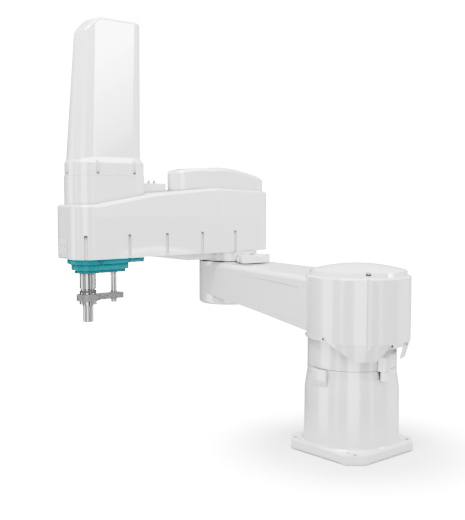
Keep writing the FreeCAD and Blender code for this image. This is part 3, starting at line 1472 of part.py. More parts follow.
def quill():
    """The tool shaft, its collars and bumper, the link, the lift screw and the hub bearing."""
    shaft = turned("quill_turned", [
        ("0", "tool_low"), ("tool_radius - tool_chamfer", "tool_low"),
        ("tool_radius", "tool_low + tool_chamfer"),
        ("tool_radius", "lower_collar_low"), ("seat_radius", "lower_collar_low"),
        ("seat_radius", "bumper_high"), ("neck_groove_radius", "bumper_high"),
        ("neck_groove_radius", "shaft_shoulder"), ("shaft_radius - 1", "shaft_shoulder"),
        ("shaft_radius", "shaft_shoulder + 1"), ("shaft_radius", "shaft_top - 1"),
        ("shaft_radius - 1", "shaft_top"), ("0", "shaft_top")])
    on_quill(shaft, "quill_shaft")
    bore = "seat_radius + running_fit"
    on_quill(ring("bumper_ring", bore, "bumper_ring_radius", "bumper_low", "bumper_high"),
             "quill_bumper_ring")
    on_quill(ring("upper_collar_ring", bore, "collar_radius", "upper_collar_low", "bumper_low"),
             "upper_collar")
    on_quill(ring("lower_collar_ring", bore, "lower_collar_radius", "lower_collar_low", "hub_low - seat_gap"),
             "lower_collar")
    on_quill(ring("hub_bearing_ring", bore, "bearing_outer", "hub_low", "hub_high"), "hub_bearing")
    hub = cylinder("link_hub", "hub_radius", "hub_low", "hub_high")
    arm = block("link_arm", ("-link_back", "-link_half", "hub_low"), ("0", "link_half", "hub_high"))
    tools = [cylinder("link_hub_bore", "bearing_outer + running_fit", "hub_low - 1", "hub_high + 1"),
             cylinder("link_screw_bore", "screw_radius + running_fit", "hub_low - 1", "hub_high + 1",
                      "-screw_back")]
    on_quill(cut("link_shape", fused("link_whole", [hub, arm]), tools), "quill_link")
    screw = turned("lift_screw_turned", [
        ("0", "screw_low"), ("screw_radius - 1", "screw_low"), ("screw_radius", "screw_low + 1"),
        ("screw_radius", "screw_top - 1"), ("screw_radius - 1", "screw_top"), ("0", "screw_top")])
    on_lift(screw, "lift_screw")


def pulley(name, radius, bore, low, shaft=""):
    """A belt pulley with lips, on a bore or with a shaft of its own that runs up to a height."""
    lip = f"{radius} + 2*pulley_lip"
    top = f"{low} + belt_width + 2*pulley_lip"
    rows = [(bore, low), (lip, low), (lip, f"{low} + pulley_lip"), (radius, f"{low} + pulley_lip"),
            (radius, f"{top} - pulley_lip"), (lip, f"{top} - pulley_lip"), (lip, top)]
    if shaft:
        rows += [("small_shaft", top), ("small_shaft", shaft), ("0", shaft)]
    else:
        rows += [(bore, top)]
    return turned(name, rows)


def quill_drives():
    """The nuts that lift and turn the quill, their pulleys, belts and motors."""
    on_quill(ring("spline_nut_ring", "shaft_radius + running_fit", "spline_nut_radius", "spline_nut_low",
                  "spline_nut_high"), "spline_nut")
    on_lift(ring("ball_nut_ring", "screw_radius + running_fit", "ball_nut_radius", "ball_nut_low",
                 "ball_nut_high"), "ball_nut")
    on_quill(pulley("turn_pulley_turned", "turn_pulley_radius", "spline_nut_radius + running_fit",
                    "turn_pulley_low"), "turn_pulley")
    on_lift(pulley("lift_pulley_turned", "lift_pulley_radius", "ball_nut_radius + running_fit",
                   "lift_pulley_low"), "lift_pulley")
    drives = [("turn", "turn_motor_at", "turn_motor_pulley", "turn_pulley_low", "turn_pulley_radius", "0"),
              ("lift", "lift_motor_at", "lift_motor_pulley", "lift_pulley_low", "lift_pulley_radius",
               "screw_back")]
    for name, back, small, low, large, offset in drives:
        axis = f"fore_reach - {back}"
        wheel = pulley(f"{name}_motor_pulley_turned", small, "0", low,
                       "bracket_low + bracket_thick + motor_flange_thick")
        seated(wheel, f"{name}_motor_pulley", across=axis, along="-upper_reach")
        sketch = free_sketch(f"{name}_belt_path", "top", f"{low} + pulley_lip + seat_gap")
        for grow in ("seat_gap", "seat_gap + belt_thick"):
            add_loop(sketch, f"0 - {back}", f"0 - {offset}", f"{small} + {grow}", f"{large} + {grow}")
        belt = prism(f"{name}_belt_prism", sketch, "belt_width - 2*seat_gap")
        on_quill(belt, f"{name}_belt")
        base = "bracket_low + bracket_thick"
        body = motor(f"{name}_motor_form", "small_motor_side", "small_motor_tall", "small_motor_flange", base,
                     "small_cap_tall")
        way = cylinder(f"{name}_motor_way", "small_shaft + running_fit", base,
                       f"{base} + motor_flange_thick + seat_gap")
        seated(cut(f"{name}_motor_shape", body, [way]), f"{name}_motor", across=axis, along="-upper_reach")


def drive_bracket():
    """The plate on four legs that carries the lift and turn motors over the belts."""
    rear = "fore_reach - lift_motor_at - small_motor_flange/2"
    front = "fore_reach - turn_motor_at + small_motor_flange/2"
    plate = block("bracket_plate", (rear, "-bracket_half", "bracket_low"),
                  (front, "bracket_half", "bracket_low + bracket_thick"))
    legs = []
    for n, (start, end) in enumerate(((rear, f"{rear} + bracket_leg"), (f"{front} - bracket_leg", front))):
        for m, (low, high) in enumerate((("-bracket_half", "bracket_leg - bracket_half"),
                                         ("bracket_half - bracket_leg", "bracket_half"))):
            legs.append(block(f"bracket_leg_{n}_{m}", (start, low, "fore_low + tray_thick"),
                              (end, high, "bracket_low + 1")))
    ways = [cylinder(f"bracket_way_{n}", "2*small_shaft", "bracket_low - 1",
                     "bracket_low + bracket_thick + 1", f"fore_reach - {back}")
            for n, back in enumerate(("lift_motor_at", "turn_motor_at"))]
    seated(cut("bracket_shape", fused("bracket_whole", [plate] + legs), ways), "drive_bracket",
           along="-upper_reach")


def small_fittings(roof):
    """The front access plate with its screws, and the air fittings on their pad behind the tower."""
    face = "fore_reach + fore_front"
    near = "plate_half - plate_side"
    far = "0 - plate_half - plate_side"
    plate = top_prism("access_plate", [
        (face, far), (f"{face} + plate_thick", far), (f"{face} + plate_thick", near), (face, near)],
        "plate_low", "plate_high")
    seated(plate, "front_access_plate", along="-upper_reach")
    screws = []
    for n, (side, height) in enumerate((s, z) for s in (
            "plate_screw_half - plate_side", "0 - plate_screw_half - plate_side")
                                       for z in ("plate_screw_low", "plate_screw_high")):
        screws.append(lying_cylinder(f"plate_screw_{n}", "plate_screw_radius", "plate_thick/2", FORWARD,
                                     (f"{face} + plate_thick", side, height)))
    seated(gathered("plate_screw_set", screws), "access_plate_screws", along="-upper_reach")
    pad = rounded("fitting_pad_rounded", top_prism("fitting_pad_prism", [
        ("fitting_pad_rear", "0 - fitting_side - fitting_pad_half"),
        ("fitting_pad_front", "0 - fitting_side - fitting_pad_half"),
        ("fitting_pad_front", "fitting_pad_half - fitting_side"),
        ("fitting_pad_rear", "fitting_pad_half - fitting_side")], "fore_crease", "fitting_pad_top"),
        upright, cell("fitting_pad_corner"))
    seated(cut("fitting_pad_shape", pad, [roof]), "fitting_pad", along="-upper_reach")
    studs = []
    for n in range(2):
        across = f"fitting_at - {n}*fitting_pitch + fitting_pitch/2"
        nut = cylinder(f"fitting_nut_{n}", "fitting_radius", "fitting_pad_top",
                       "fitting_top - fitting_radius/2", across, "-fitting_side")
        stem = cylinder(f"fitting_stem_{n}", "fitting_radius*2/3", "fitting_pad_top", "fitting_top", across,
                        "-fitting_side")
        studs.append(fused(f"fitting_{n}", [stem, nut]))
    seated(gathered("fitting_set", studs), "air_fittings", along="-upper_reach")


# Building, checking and writing

base_casting()
rear_panel()
first_joint()
upper_link()
first_drive()
first_cover()
moving_stop()
second_joint()
roof = build_fore_link()
fore_casting()
second_drive()
hump(roof)
tower(roof)
shroud()
quill()
quill_drives()
drive_bracket()
small_fittings(roof)
doc.recompute()

faults = []
for thing in doc.Objects:
    if "Invalid" in thing.State or "Error" in thing.State:
        faults.append(f"{thing.Name}: {thing.getStatusString()}")
for thing in NODES:
    if thing.Shape.isNull() or not thing.Shape.isValid() or not thing.Shape.Solids:
        faults.append(f"{thing.Label}: no valid solid")
if faults:
    raise RuntimeError("failed: " + "; ".join(faults))

os.makedirs("parts", exist_ok=True)
for thing in NODES:
    thing.Shape.exportStep(f"parts/{thing.Label}.step")
    box = thing.Shape.BoundBox
    print(f"{thing.Label}: {len(thing.Shape.Solids)} solid, x {box.XMin:.1f} {box.XMax:.1f}, "
          f"y {box.YMin:.1f} {box.YMax:.1f}, z {box.ZMin:.1f} {box.ZMax:.1f}")
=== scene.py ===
import json
import math
import bpy
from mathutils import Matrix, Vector


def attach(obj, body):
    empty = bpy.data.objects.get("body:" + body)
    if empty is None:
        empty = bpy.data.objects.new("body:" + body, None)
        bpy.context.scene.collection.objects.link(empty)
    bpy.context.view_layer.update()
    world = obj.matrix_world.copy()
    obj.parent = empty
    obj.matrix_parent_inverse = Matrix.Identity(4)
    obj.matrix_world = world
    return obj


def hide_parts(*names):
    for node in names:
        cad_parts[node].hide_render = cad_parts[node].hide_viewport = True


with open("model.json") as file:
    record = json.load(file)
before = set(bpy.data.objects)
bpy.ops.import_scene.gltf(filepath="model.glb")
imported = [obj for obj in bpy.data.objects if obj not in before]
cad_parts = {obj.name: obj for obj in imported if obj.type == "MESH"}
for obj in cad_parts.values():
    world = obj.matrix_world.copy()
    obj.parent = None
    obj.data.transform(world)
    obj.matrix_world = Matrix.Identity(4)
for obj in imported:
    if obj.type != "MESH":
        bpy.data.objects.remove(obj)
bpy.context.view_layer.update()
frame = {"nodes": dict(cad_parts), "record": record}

# A floor-standing four-axis arm in a plain studio. Metres, with the origin under the middle of
# the base flange, on the first joint's axis. At rest the upper link points along -Y and the
# fore link along +X.

# Camera: in front and to the right of the quill, a little above the elbow
EYE = Vector((2.0148, 1.7408, 0.8062))
HEADING = Vector((-0.6558, -0.7549, 0))
PITCH_DOWN = math.radians(4.44)
LENS_MM = 58.07
SENSOR_MM = 36
FARTHEST_SEEN = 40

camera = bpy.data.objects.new("studio_camera", bpy.data.cameras.new("studio_camera"))
bpy.context.scene.collection.objects.link(camera)
camera.location = EYE
gaze = HEADING.normalized() * math.cos(PITCH_DOWN) - Vector((0, 0, math.sin(PITCH_DOWN)))
camera.rotation_mode = "QUATERNION"
camera.rotation_quaternion = gaze.to_track_quat("-Z", "Y")
camera.data.lens = LENS_MM
camera.data.sensor_width = SENSOR_MM
camera.data.clip_end = FARTHEST_SEEN
bpy.context.scene.camera = camera


# Shader helpers

def effect_group(name, inputs, outputs):
    """A shader group with named sockets: its tree, its input node and its output node."""
    tree = bpy.data.node_groups.new(name, "ShaderNodeTree")
    for label, default in inputs:
        socket = tree.interface.new_socket(label, in_out="INPUT", socket_type="NodeSocketFloat")
        socket.default_value = default
    for label in outputs:
        tree.interface.new_socket(label, in_out="OUTPUT", socket_type="NodeSocketFloat")
    return tree, tree.nodes.new("NodeGroupInput"), tree.nodes.new("NodeGroupOutput")


def node(tree, kind, **settings):
    """A new node, with each setting put in the input of that name or else on the node itself."""
    made = tree.nodes.new(kind)
    for key, value in settings.items():
        if key in made.inputs.keys():
            made.inputs[key].default_value = value
        else:
            setattr(made, key, value)
    return made


def math_node(tree, operation, first, second):
    """The result of one sum; first and second are numbers or sockets."""
    made = node(tree, "ShaderNodeMath", operation=operation)
    for socket, value in zip(made.inputs, (first, second)):
        if isinstance(value, (int, float)):
            socket.default_value = value
        else:
            tree.links.new(value, socket)
    return made.outputs[0]


def ramp(tree, source, low, high):
    """0 below low and 1 above high, smooth between."""
    made = tree.nodes.new("ShaderNodeMapRange")
    made.interpolation_type = "SMOOTHSTEP"
    made.inputs["From Min"].default_value = low
    made.inputs["From Max"].default_value = high
    tree.links.new(source, made.inputs["Value"])
    return made.outputs["Result"]


def blend_colour(tree, mask, plain, worn):
    """A colour that turns from plain to worn by a mask, used for real wear and for painted shade in
    crevices (there plain is the shade colour); either may be a socket.
    """
    mix = node(tree, "ShaderNodeMix", data_type="RGBA")
    tree.links.new(mask, mix.inputs["Factor"])
    for socket, colour in ((mix.inputs[6], plain), (mix.inputs[7], worn)):
        if isinstance(colour, tuple):
            socket.default_value = (*colour, 1)
        else:
            tree.links.new(colour, socket)
    return mix.outputs[2]


def blend_shader(tree, share, first, second):
    mix = tree.nodes.new("ShaderNodeMixShader")
    for socket, source in zip(mix.inputs, (share, first, second)):
        tree.links.new(source, socket)
    return mix.outputs["Shader"]


def placed(tree, group, **values):
    """A shared effect in one material, with that material's own values."""
    made = tree.nodes.new("ShaderNodeGroup")
    made.node_tree = group
    for label, value in values.items():
        made.inputs[label.replace("_", " ")].default_value = value
    return made


# Effects that several finishes share

WORN_FROM, WORN_FULL = 0.01, 0.16
PATCH_SCALE = 60.0
RING_SQUEEZE = (0.02, 0.02, 1.0)


def build_surface_grain():
    """Fine relief over a slow mottle: orange peel on paint, ripple on a casting."""
    tree, inside, outside = effect_group(
        "surface_grain", [("Size", 400.0), ("Mottle Size", 5.0)], ["Height", "Mottle"])
    place = tree.nodes.new("ShaderNodeTexCoord").outputs["Object"]
    for label, scale, detail in (("Height", "Size", 2.0), ("Mottle", "Mottle Size", 4.0)):
        noise = node(tree, "ShaderNodeTexNoise", Detail=detail, Roughness=0.5)
        tree.links.new(place, noise.inputs["Vector"])
        tree.links.new(inside.outputs[scale], noise.inputs["Scale"])
        tree.links.new(noise.outputs["Fac"], outside.inputs[label])
    return tree


def build_edge_wear():
    """Where corners are rubbed: a mask along convex edges, broken up by noise."""
    tree, inside, outside = effect_group("edge_wear", [("Reach", 0.003), ("Amount", 0.5)], ["Mask"])
    bevel = node(tree, "ShaderNodeBevel", samples=4)
    tree.links.new(inside.outputs["Reach"], bevel.inputs["Radius"])
    facing = tree.nodes.new("ShaderNodeNewGeometry").outputs["Normal"]
    dot = node(tree, "ShaderNodeVectorMath", operation="DOT_PRODUCT")
    tree.links.new(bevel.outputs["Normal"], dot.inputs[0])
    tree.links.new(facing, dot.inputs[1])
    edge = ramp(tree, math_node(tree, "SUBTRACT", 1.0, dot.outputs["Value"]), WORN_FROM, WORN_FULL)
    place = tree.nodes.new("ShaderNodeTexCoord").outputs["Object"]
    patches = node(tree, "ShaderNodeTexNoise", Scale=PATCH_SCALE, Detail=5.0, Roughness=0.6)
    tree.links.new(place, patches.inputs["Vector"])
    broken = ramp(tree, patches.outputs["Fac"], 0.35, 0.65)
    rubbed = math_node(tree, "MULTIPLY", edge, broken)
    tree.links.new(math_node(tree, "MULTIPLY", rubbed, inside.outputs["Amount"]), outside.inputs["Mask"])
    return tree


def build_turning_marks():
    """Fine rings round an upright axis, as a lathe or grinder leaves them."""
    tree, inside, outside = effect_group("turning_marks", [("Pitch", 900.0)], ["Height"])
    place = tree.nodes.new("ShaderNodeTexCoord").outputs["Object"]
    squeeze = node(tree, "ShaderNodeVectorMath", operation="MULTIPLY")
    squeeze.inputs[1].default_value = RING_SQUEEZE
    tree.links.new(place, squeeze.inputs[0])
    noise = node(tree, "ShaderNodeTexNoise", Detail=3.0, Roughness=0.6)
    tree.links.new(squeeze.outputs["Vector"], noise.inputs["Vector"])
    tree.links.new(inside.outputs["Pitch"], noise.inputs["Scale"])
    tree.links.new(noise.outputs["Fac"], outside.inputs["Height"])
    return tree


SURFACE_GRAIN = build_surface_grain()
EDGE_WEAR = build_edge_wear()
TURNING_MARKS = build_turning_marks()


# Finishes

# Painted shade: within this reach, ambient occlusion darkens crevices, seams and recesses towards black,
# standing in for the shade that falls there
PAINTED_SHADE_REACH = 0.018
PAINTED_SHADE_FULL_AT, PAINTED_SHADE_NONE_AT = 0.25, 0.85
PAINTED_SHADE_COLOUR = (0.0, 0.0, 0.0)
WORN_ROUGHNESS = 0.15
RELIEF_DEPTH = 0.001


def finish(name, colour, mottled, worn, roughness, rough_spread=0.05, metallic=0.0, coat=0.0,
           coat_roughness=0.05, grain=400.0, mottle=5.0, relief=0.05, wear=0.4, wear_reach=0.002,
           soft_edge=0.0015, turned_pitch=0.0, specular=0.5, coat_index=1.5):
    """One material: mottled colour, worn edges, painted shade in crevices, varied roughness, relief and
    softened edges.
    """
    made = bpy.data.materials.new(name)
    made.use_nodes = True
    tree = made.node_tree
    shader = tree.nodes["Principled BSDF"]
    texture = placed(tree, SURFACE_GRAIN, Size=grain, Mottle_Size=mottle)
    rubbed = placed(tree, EDGE_WEAR, Reach=wear_reach, Amount=wear).outputs["Mask"]
    patches = ramp(tree, texture.outputs["Mottle"], 0.3, 0.7)
    shade = blend_colour(tree, rubbed, blend_colour(tree, patches, colour, mottled), worn)
    # Painted shade in crevices: the colour goes towards black where ambient occlusion is low, and clear is
    # the share left unshaded
    crevice_occlusion = node(tree, "ShaderNodeAmbientOcclusion", samples=6, Distance=PAINTED_SHADE_REACH)
    clear = ramp(tree, crevice_occlusion.outputs["AO"], PAINTED_SHADE_FULL_AT, PAINTED_SHADE_NONE_AT)
    tree.links.new(blend_colour(tree, clear, PAINTED_SHADE_COLOUR, shade), shader.inputs["Base Color"])
    spread = math_node(tree, "MULTIPLY", patches, rough_spread)
    rough = math_node(tree, "ADD", spread, roughness - rough_spread / 2)
    tree.links.new(math_node(tree, "ADD", rough, math_node(tree, "MULTIPLY", rubbed, WORN_ROUGHNESS)),
                   shader.inputs["Roughness"])
    bump = node(tree, "ShaderNodeBump", Strength=relief, Distance=RELIEF_DEPTH)
    height = texture.outputs["Height"]
    if turned_pitch:
        height = placed(tree, TURNING_MARKS, Pitch=turned_pitch).outputs["Height"]
    tree.links.new(height, bump.inputs["Height"])
    if soft_edge:
        rounding = node(tree, "ShaderNodeBevel", samples=6, Radius=soft_edge)
        tree.links.new(rounding.outputs["Normal"], bump.inputs["Normal"])
    tree.links.new(bump.outputs["Normal"], shader.inputs["Normal"])
    shader.inputs["Metallic"].default_value = metallic
    # The clear coat is also taken away in the painted shade, so crevices lose their sheen
    tree.links.new(math_node(tree, "MULTIPLY", clear, coat), shader.inputs["Coat Weight"])
    shader.inputs["Coat Roughness"].default_value = coat_roughness
    shader.inputs["Coat IOR"].default_value = coat_index
    shader.inputs["Specular IOR Level"].default_value = specular
    return made


WHITE = {"colour": (0.56, 0.56, 0.562), "mottled": (0.54, 0.542, 0.545), "worn": (0.48, 0.48, 0.48)}
FINISH_VALUES = {
    "white_casting": dict(
        WHITE, roughness=0.34, coat=1.0, coat_roughness=0.10, coat_index=2.4, grain=700, mottle=3,
        relief=0.03, wear=0.12, soft_edge=0.003),
    "white_cover": dict(
        WHITE, roughness=0.28, coat=1.0, coat_roughness=0.07, coat_index=2.4, grain=900, mottle=3,
        relief=0.02, wear=0.10, soft_edge=0.003),
    "white_plate": dict(
        WHITE, roughness=0.32, coat=0.9, coat_roughness=0.1, coat_index=2.0, grain=900, mottle=6,
        relief=0.03, wear=0.2, soft_edge=0.0006),
    "white_bumper": dict(
        colour=(0.72, 0.72, 0.70), mottled=(0.66, 0.66, 0.64), worn=(0.5, 0.5, 0.49), roughness=0.6,
        grain=1600, mottle=25, relief=0.2, wear=0.3, soft_edge=0.0008),
    "teal_cover": dict(
        colour=(0.0, 0.145, 0.168), mottled=(0.0, 0.13, 0.152), worn=(0.0, 0.24, 0.27), roughness=0.24,
        grain=900, mottle=8, relief=0.02, wear=0.3, specular=0.06),
    "dark_rubber": dict(
        colour=(0.018, 0.018, 0.019), mottled=(0.026, 0.026, 0.026), worn=(0.07, 0.07, 0.07),
        roughness=0.62, grain=1800, mottle=20, relief=0.3, wear=0.5, soft_edge=0.0008),
    "shaft_steel": dict(
        colour=(0.36, 0.365, 0.37), mottled=(0.33, 0.335, 0.34), worn=(0.5, 0.5, 0.51), roughness=0.07,
        rough_spread=0.03, metallic=1.0, mottle=30, relief=0.0005, turned_pitch=2500, wear=0.2,
        soft_edge=0.0),
    "screw_steel": dict(
        colour=(0.055, 0.055, 0.058), mottled=(0.04, 0.04, 0.042), worn=(0.16, 0.16, 0.16),
        roughness=0.42, metallic=0.6, mottle=60, relief=0.1, soft_edge=0.0003, wear_reach=0.0005),
    "drive_steel": dict(
        colour=(0.42, 0.42, 0.43), mottled=(0.34, 0.34, 0.35), worn=(0.6, 0.6, 0.6), roughness=0.36,
        metallic=1.0, mottle=25, relief=0.1, turned_pitch=1500, soft_edge=0.0008),
    "machined_aluminium": dict(
        colour=(0.092, 0.092, 0.09), mottled=(0.078, 0.078, 0.076), worn=(0.36, 0.36, 0.36),
        roughness=0.45, metallic=0.4, mottle=25, grain=1200, relief=0.12, soft_edge=0.0012),
    "motor_black": dict(
        colour=(0.02, 0.02, 0.022), mottled=(0.03, 0.03, 0.032), worn=(0.15, 0.15, 0.15), roughness=0.5,
        grain=1200, mottle=12, relief=0.15),
    "connector_grey": dict(
        colour=(0.06, 0.06, 0.065), mottled=(0.08, 0.08, 0.085), worn=(0.2, 0.2, 0.2), roughness=0.5,
        grain=1200, mottle=20, relief=0.12, soft_edge=0.0008),
    "nickel_fitting": dict(
        colour=(0.62, 0.62, 0.60), mottled=(0.52, 0.52, 0.50), worn=(0.8, 0.8, 0.79), roughness=0.26,
        metallic=1.0, mottle=60, relief=0.06, soft_edge=0.0004),
}
FINISHES = {name: finish(name, **values) for name, values in FINISH_VALUES.items()}

for part in frame["record"]["subparts"]:
    thing = frame["nodes"][part["node"]]
    thing.data.materials.clear()
    thing.data.materials.append(FINISHES[part["material_slot"]])


# Shapes of the small pieces

TURN_STEPS = 36
SHARP_ANGLE = math.radians(35)
UPPER_REACH = 0.600
MM = 0.001
UPWARD, DOWNWARD = (0, 0, 1), (0, 0, -1)
FORWARD, BACKWARD = (1, 0, 0), (-1, 0, 0)
NEAR_SIDE = (0, 1, 0)


def circle_reach(angle):
    return 1.0


def hexagon_reach(angle):
    """How far a hexagon of unit inner radius reaches at an angle."""
    return 1 / math.cos((angle % (math.pi / 3)) - math.pi / 6)


def turned_rings(rings, spot, direction=UPWARD):
    """Vertices and faces of a piece turned round an axis: rings of (radius, height, outline)."""
    lean = Vector(UPWARD).rotation_difference(Vector(direction))
    corners, faces = [], []
    for radius, height, outline in rings:
        for step in range(TURN_STEPS):
            angle = math.tau * step / TURN_STEPS
            reach = radius * outline(angle)
            corner = Vector((reach * math.cos(angle), reach * math.sin(angle), height))
            corners.append(Vector(spot) + lean @ corner)
    for n in range(len(rings) - 1):
        for step in range(TURN_STEPS):
            after = (step + 1) % TURN_STEPS
            low, high = n * TURN_STEPS, (n + 1) * TURN_STEPS
            faces.append((low + step, low + after, high + after, high + step))
    faces.append(tuple(reversed(range(TURN_STEPS))))
    faces.append(tuple(range(len(corners) - TURN_STEPS, len(corners))))
    return corners, faces


def seat(name, data, body, slot):
    """A new object of one finish that moves with a body."""
    data.materials.append(FINISHES[slot])
    made = bpy.data.objects.new(name, data)
    bpy.context.scene.collection.objects.link(made)
    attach(made, body)
    return made


def piece(name, parts, body, slot, stands_for=()):
    """One object from several (vertices, faces) shells, smooth but for its sharp corners."""
    corners, faces = [], []
    for more_corners, more_faces in parts:
        start = len(corners)
        corners.extend(more_corners)
        faces.extend(tuple(start + n for n in face) for face in more_faces)
    mesh = bpy.data.meshes.new(name)
    mesh.from_pydata(corners, [], faces)
    mesh.shade_smooth()
    mesh.set_sharp_from_angle(angle=SHARP_ANGLE)
    made = seat(name, mesh, body, slot)
    if stands_for:
        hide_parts(*stands_for)


def socket_screw(spot, radius, tall, direction=UPWARD):
    """A cap screw's head with a chamfered rim and a hexagon socket; spot is the seat of the head."""
    rim, key, deep = 0.12 * radius, 0.48 * radius, 0.55 * tall
    return turned_rings([
        (radius, 0, circle_reach), (radius, tall - rim, circle_reach), (radius - rim, tall, circle_reach),
        (1.12 * key, tall, hexagon_reach), (key, tall - 0.5 * rim, hexagon_reach),
        (key, tall - deep, hexagon_reach), (0.3 * key, tall - 1.25 * deep, circle_reach)], spot, direction)


def around(radius, angle, height, centre=(0, 0)):
    """A place on a circle about an upright axis, at an angle in degrees from +X."""
    turn = math.radians(angle)
    return (centre[0] + radius * math.cos(turn), centre[1] + radius * math.sin(turn), height)


def fore_place(along, across, height):
    """A place on the fore link, in mm along it and across it from the second joint's axis."""
    return (along * MM, across * MM - UPPER_REACH, height * MM)


# Screws of the first joint's motor cover, with angles from the upper link's direction
UPPER_HEADING = -90
COVER_AXIS = (0, 0.023)
CAP_RING, CAP_SEAT, CAP_HEAD = 0.148, 0.566, (0.005, 0.005)
CAP_ANGLES = (52, -52, 142, -142)
CAP_SCREWS = [socket_screw(around(CAP_RING, angle + UPPER_HEADING, CAP_SEAT, COVER_AXIS), *CAP_HEAD)
              for angle in CAP_ANGLES]
piece("cap_socket_screws", CAP_SCREWS, "upper_link", "screw_steel", ["j1_cover_screws"])

LUG_FACE, LUG_HEAD = 0.1675, (0.0045, 0.0015)
LUG_SCREWS = []
for angle, height in ((55, 0.3725), (92.5, 0.3725), (168, 0.356)):
    for side in (1, -1):
        turn = side * angle + UPPER_HEADING
        LUG_SCREWS.append(socket_screw(around(LUG_FACE, turn, height, COVER_AXIS), *LUG_HEAD,
                                       around(1, turn, 0)))
piece("lug_socket_screws", LUG_SCREWS, "upper_link", "screw_steel", ["j1_lug_screws"])

# Screws of the fore link's cover, which hang head down in its flutes, and of the tower's hood
COVER_HEAD = (0.0034, 0.005)
SIDE_SEAT = 680
SIDE_PLACES = ((50, 91.8), (200, 91.8), (350, 91.8), (500, 91.8), (654.4, 79.1))
SIDE_SCREWS = [socket_screw(fore_place(along, side * across, SIDE_SEAT), *COVER_HEAD, DOWNWARD)
               for along, across in SIDE_PLACES for side in (1, -1)]
piece("side_socket_screws", SIDE_SCREWS, "fore_link", "screw_steel", ["fore_cover_screws"])

HOOD_SEAT = 872
HOOD_PLACES = ((462, 67.8), (462, -67.8), (600, 67.8), (600, -67.8), (667.8, 0), (394.2, 0))
HOOD_SCREWS = [socket_screw(fore_place(along, across, HOOD_SEAT), *COVER_HEAD)
               for along, across in HOOD_PLACES]
piece("hood_socket_screws", HOOD_SCREWS, "fore_link", "screw_steel", ["tower_hood_screws"])

# Screws of the fore link's front plate
PLATE_FACE, PLATE_HEAD = 0.683, (0.0022, 0.001)
PLATE_SCREWS = [socket_screw((PLATE_FACE, y, height), *PLATE_HEAD, FORWARD)
                for y in (-0.597, -0.623) for height in (0.615, 0.646)]
piece("plate_socket_screws", PLATE_SCREWS, "fore_link", "screw_steel", ["access_plate_screws"])

# Screws, push-in fittings and contact pins of the base's rear panel
PANEL_FACE, PANEL_HEAD = -0.155, (0.006, 0.003)
PANEL_SCREWS = [socket_screw((PANEL_FACE, side * 0.050, height), *PANEL_HEAD, BACKWARD)
                for side in (1, -1) for height in (0.050, 0.212)]
piece("panel_socket_screws", PANEL_SCREWS, "base", "screw_steel", ["rear_panel_screws"])

# Rings of a push-in fitting, as shares of its half width and of its length
FITTING_RINGS = (
    (0.92, 0, hexagon_reach), (1, 0.04, hexagon_reach), (1, 0.42, hexagon_reach),
    (0.92, 0.46, hexagon_reach), (0.86, 0.48, circle_reach), (0.80, 0.52, circle_reach),
    (0.86, 0.56, circle_reach), (0.86, 0.80, circle_reach), (0.72, 0.86, circle_reach),
    (0.62, 0.86, circle_reach), (0.66, 1, circle_reach), (0.46, 1, circle_reach),
    (0.42, 0.5, circle_reach))


def air_fitting(spot, direction, half_width, length):
    """A push-in fitting: hexagon, waisted body and release ring round an open bore."""
    return turned_rings([(wide * half_width, high * length, outline)
                         for wide, high, outline in FITTING_RINGS], spot, direction)


REAR_FITTING, REAR_FITTING_HEIGHT = (0.0068, 0.022), 0.184
REAR_AIR = [air_fitting((PANEL_FACE, side * 0.020, REAR_FITTING_HEIGHT), BACKWARD, *REAR_FITTING)
            for side in (1, -1)]
piece("rear_push_fittings", REAR_AIR, "base", "nickel_fitting", ["rear_air_fittings"])

ROOF_FITTING, ROOF_PAD_TOP = (0.0052, 0.012), 846
ROOF_AIR = [air_fitting(fore_place(along, -20, ROOF_PAD_TOP), UPWARD, *ROOF_FITTING)
            for along in (343.5, 320.5)]
piece("roof_push_fittings", ROOF_AIR, "fore_link", "nickel_fitting", ["air_fittings"])

SOCKET_FLOOR = -0.161
PIN_RINGS = [(0.0011, 0, circle_reach), (0.0011, 0.010, circle_reach),
             (0.0007, 0.0115, circle_reach), (0.0003, 0.012, circle_reach)]
POWER_SOCKET_HEIGHT, SIGNAL_SOCKET_HEIGHT = 0.080, 0.128


def contact_pins(centre_height, reach, count):
    """A ring of contact pins on the floor of a socket."""
    turns = [math.tau * n / count for n in range(count)]
    return [turned_rings(PIN_RINGS, (SOCKET_FLOOR, reach * math.cos(turn),
                                     centre_height + reach * math.sin(turn)), BACKWARD) for turn in turns]


POWER_PINS = contact_pins(POWER_SOCKET_HEIGHT, 0, 1) + contact_pins(POWER_SOCKET_HEIGHT, 0.009, 6)
piece("power_pins", POWER_PINS, "base", "nickel_fitting")
SIGNAL_PINS = contact_pins(SIGNAL_SOCKET_HEIGHT, 0.0035, 5) + contact_pins(SIGNAL_SOCKET_HEIGHT, 0.0080, 12)
piece("signal_pins", SIGNAL_PINS, "base", "nickel_fitting")

# The bent wire clip on the near side of the shroud, as (x, z) places along it
CLIP_Y, CLIP_RADIUS = -0.5334, 0.0013
CLIP_BENDS = ((0.5975, 0.5975), (0.5975, 0.5895), (0.5950, 0.5872),
              (0.5895, 0.5872), (0.5870, 0.5895), (0.5870, 0.5975))
clip_line = bpy.data.curves.new("shroud_clip", "CURVE")
clip_line.dimensions = "3D"
clip_line.bevel_depth = CLIP_RADIUS
clip_line.bevel_resolution = 3
clip_line.use_fill_caps = True
wire = clip_line.splines.new("POLY")
wire.points.add(len(CLIP_BENDS) - 1)
for point, (x, z) in zip(wire.points, CLIP_BENDS):
    point.co = (x, CLIP_Y, z, 1)
seat("shroud_clip", clip_line, "fore_link", "screw_steel")

# The plug in the fore link's near flank
PLUG = socket_screw(fore_place(490, 93.4, 709), 0.0020, 0.0010, NEAR_SIDE)
piece("flank_plug", [PLUG], "fore_link", "screw_steel")

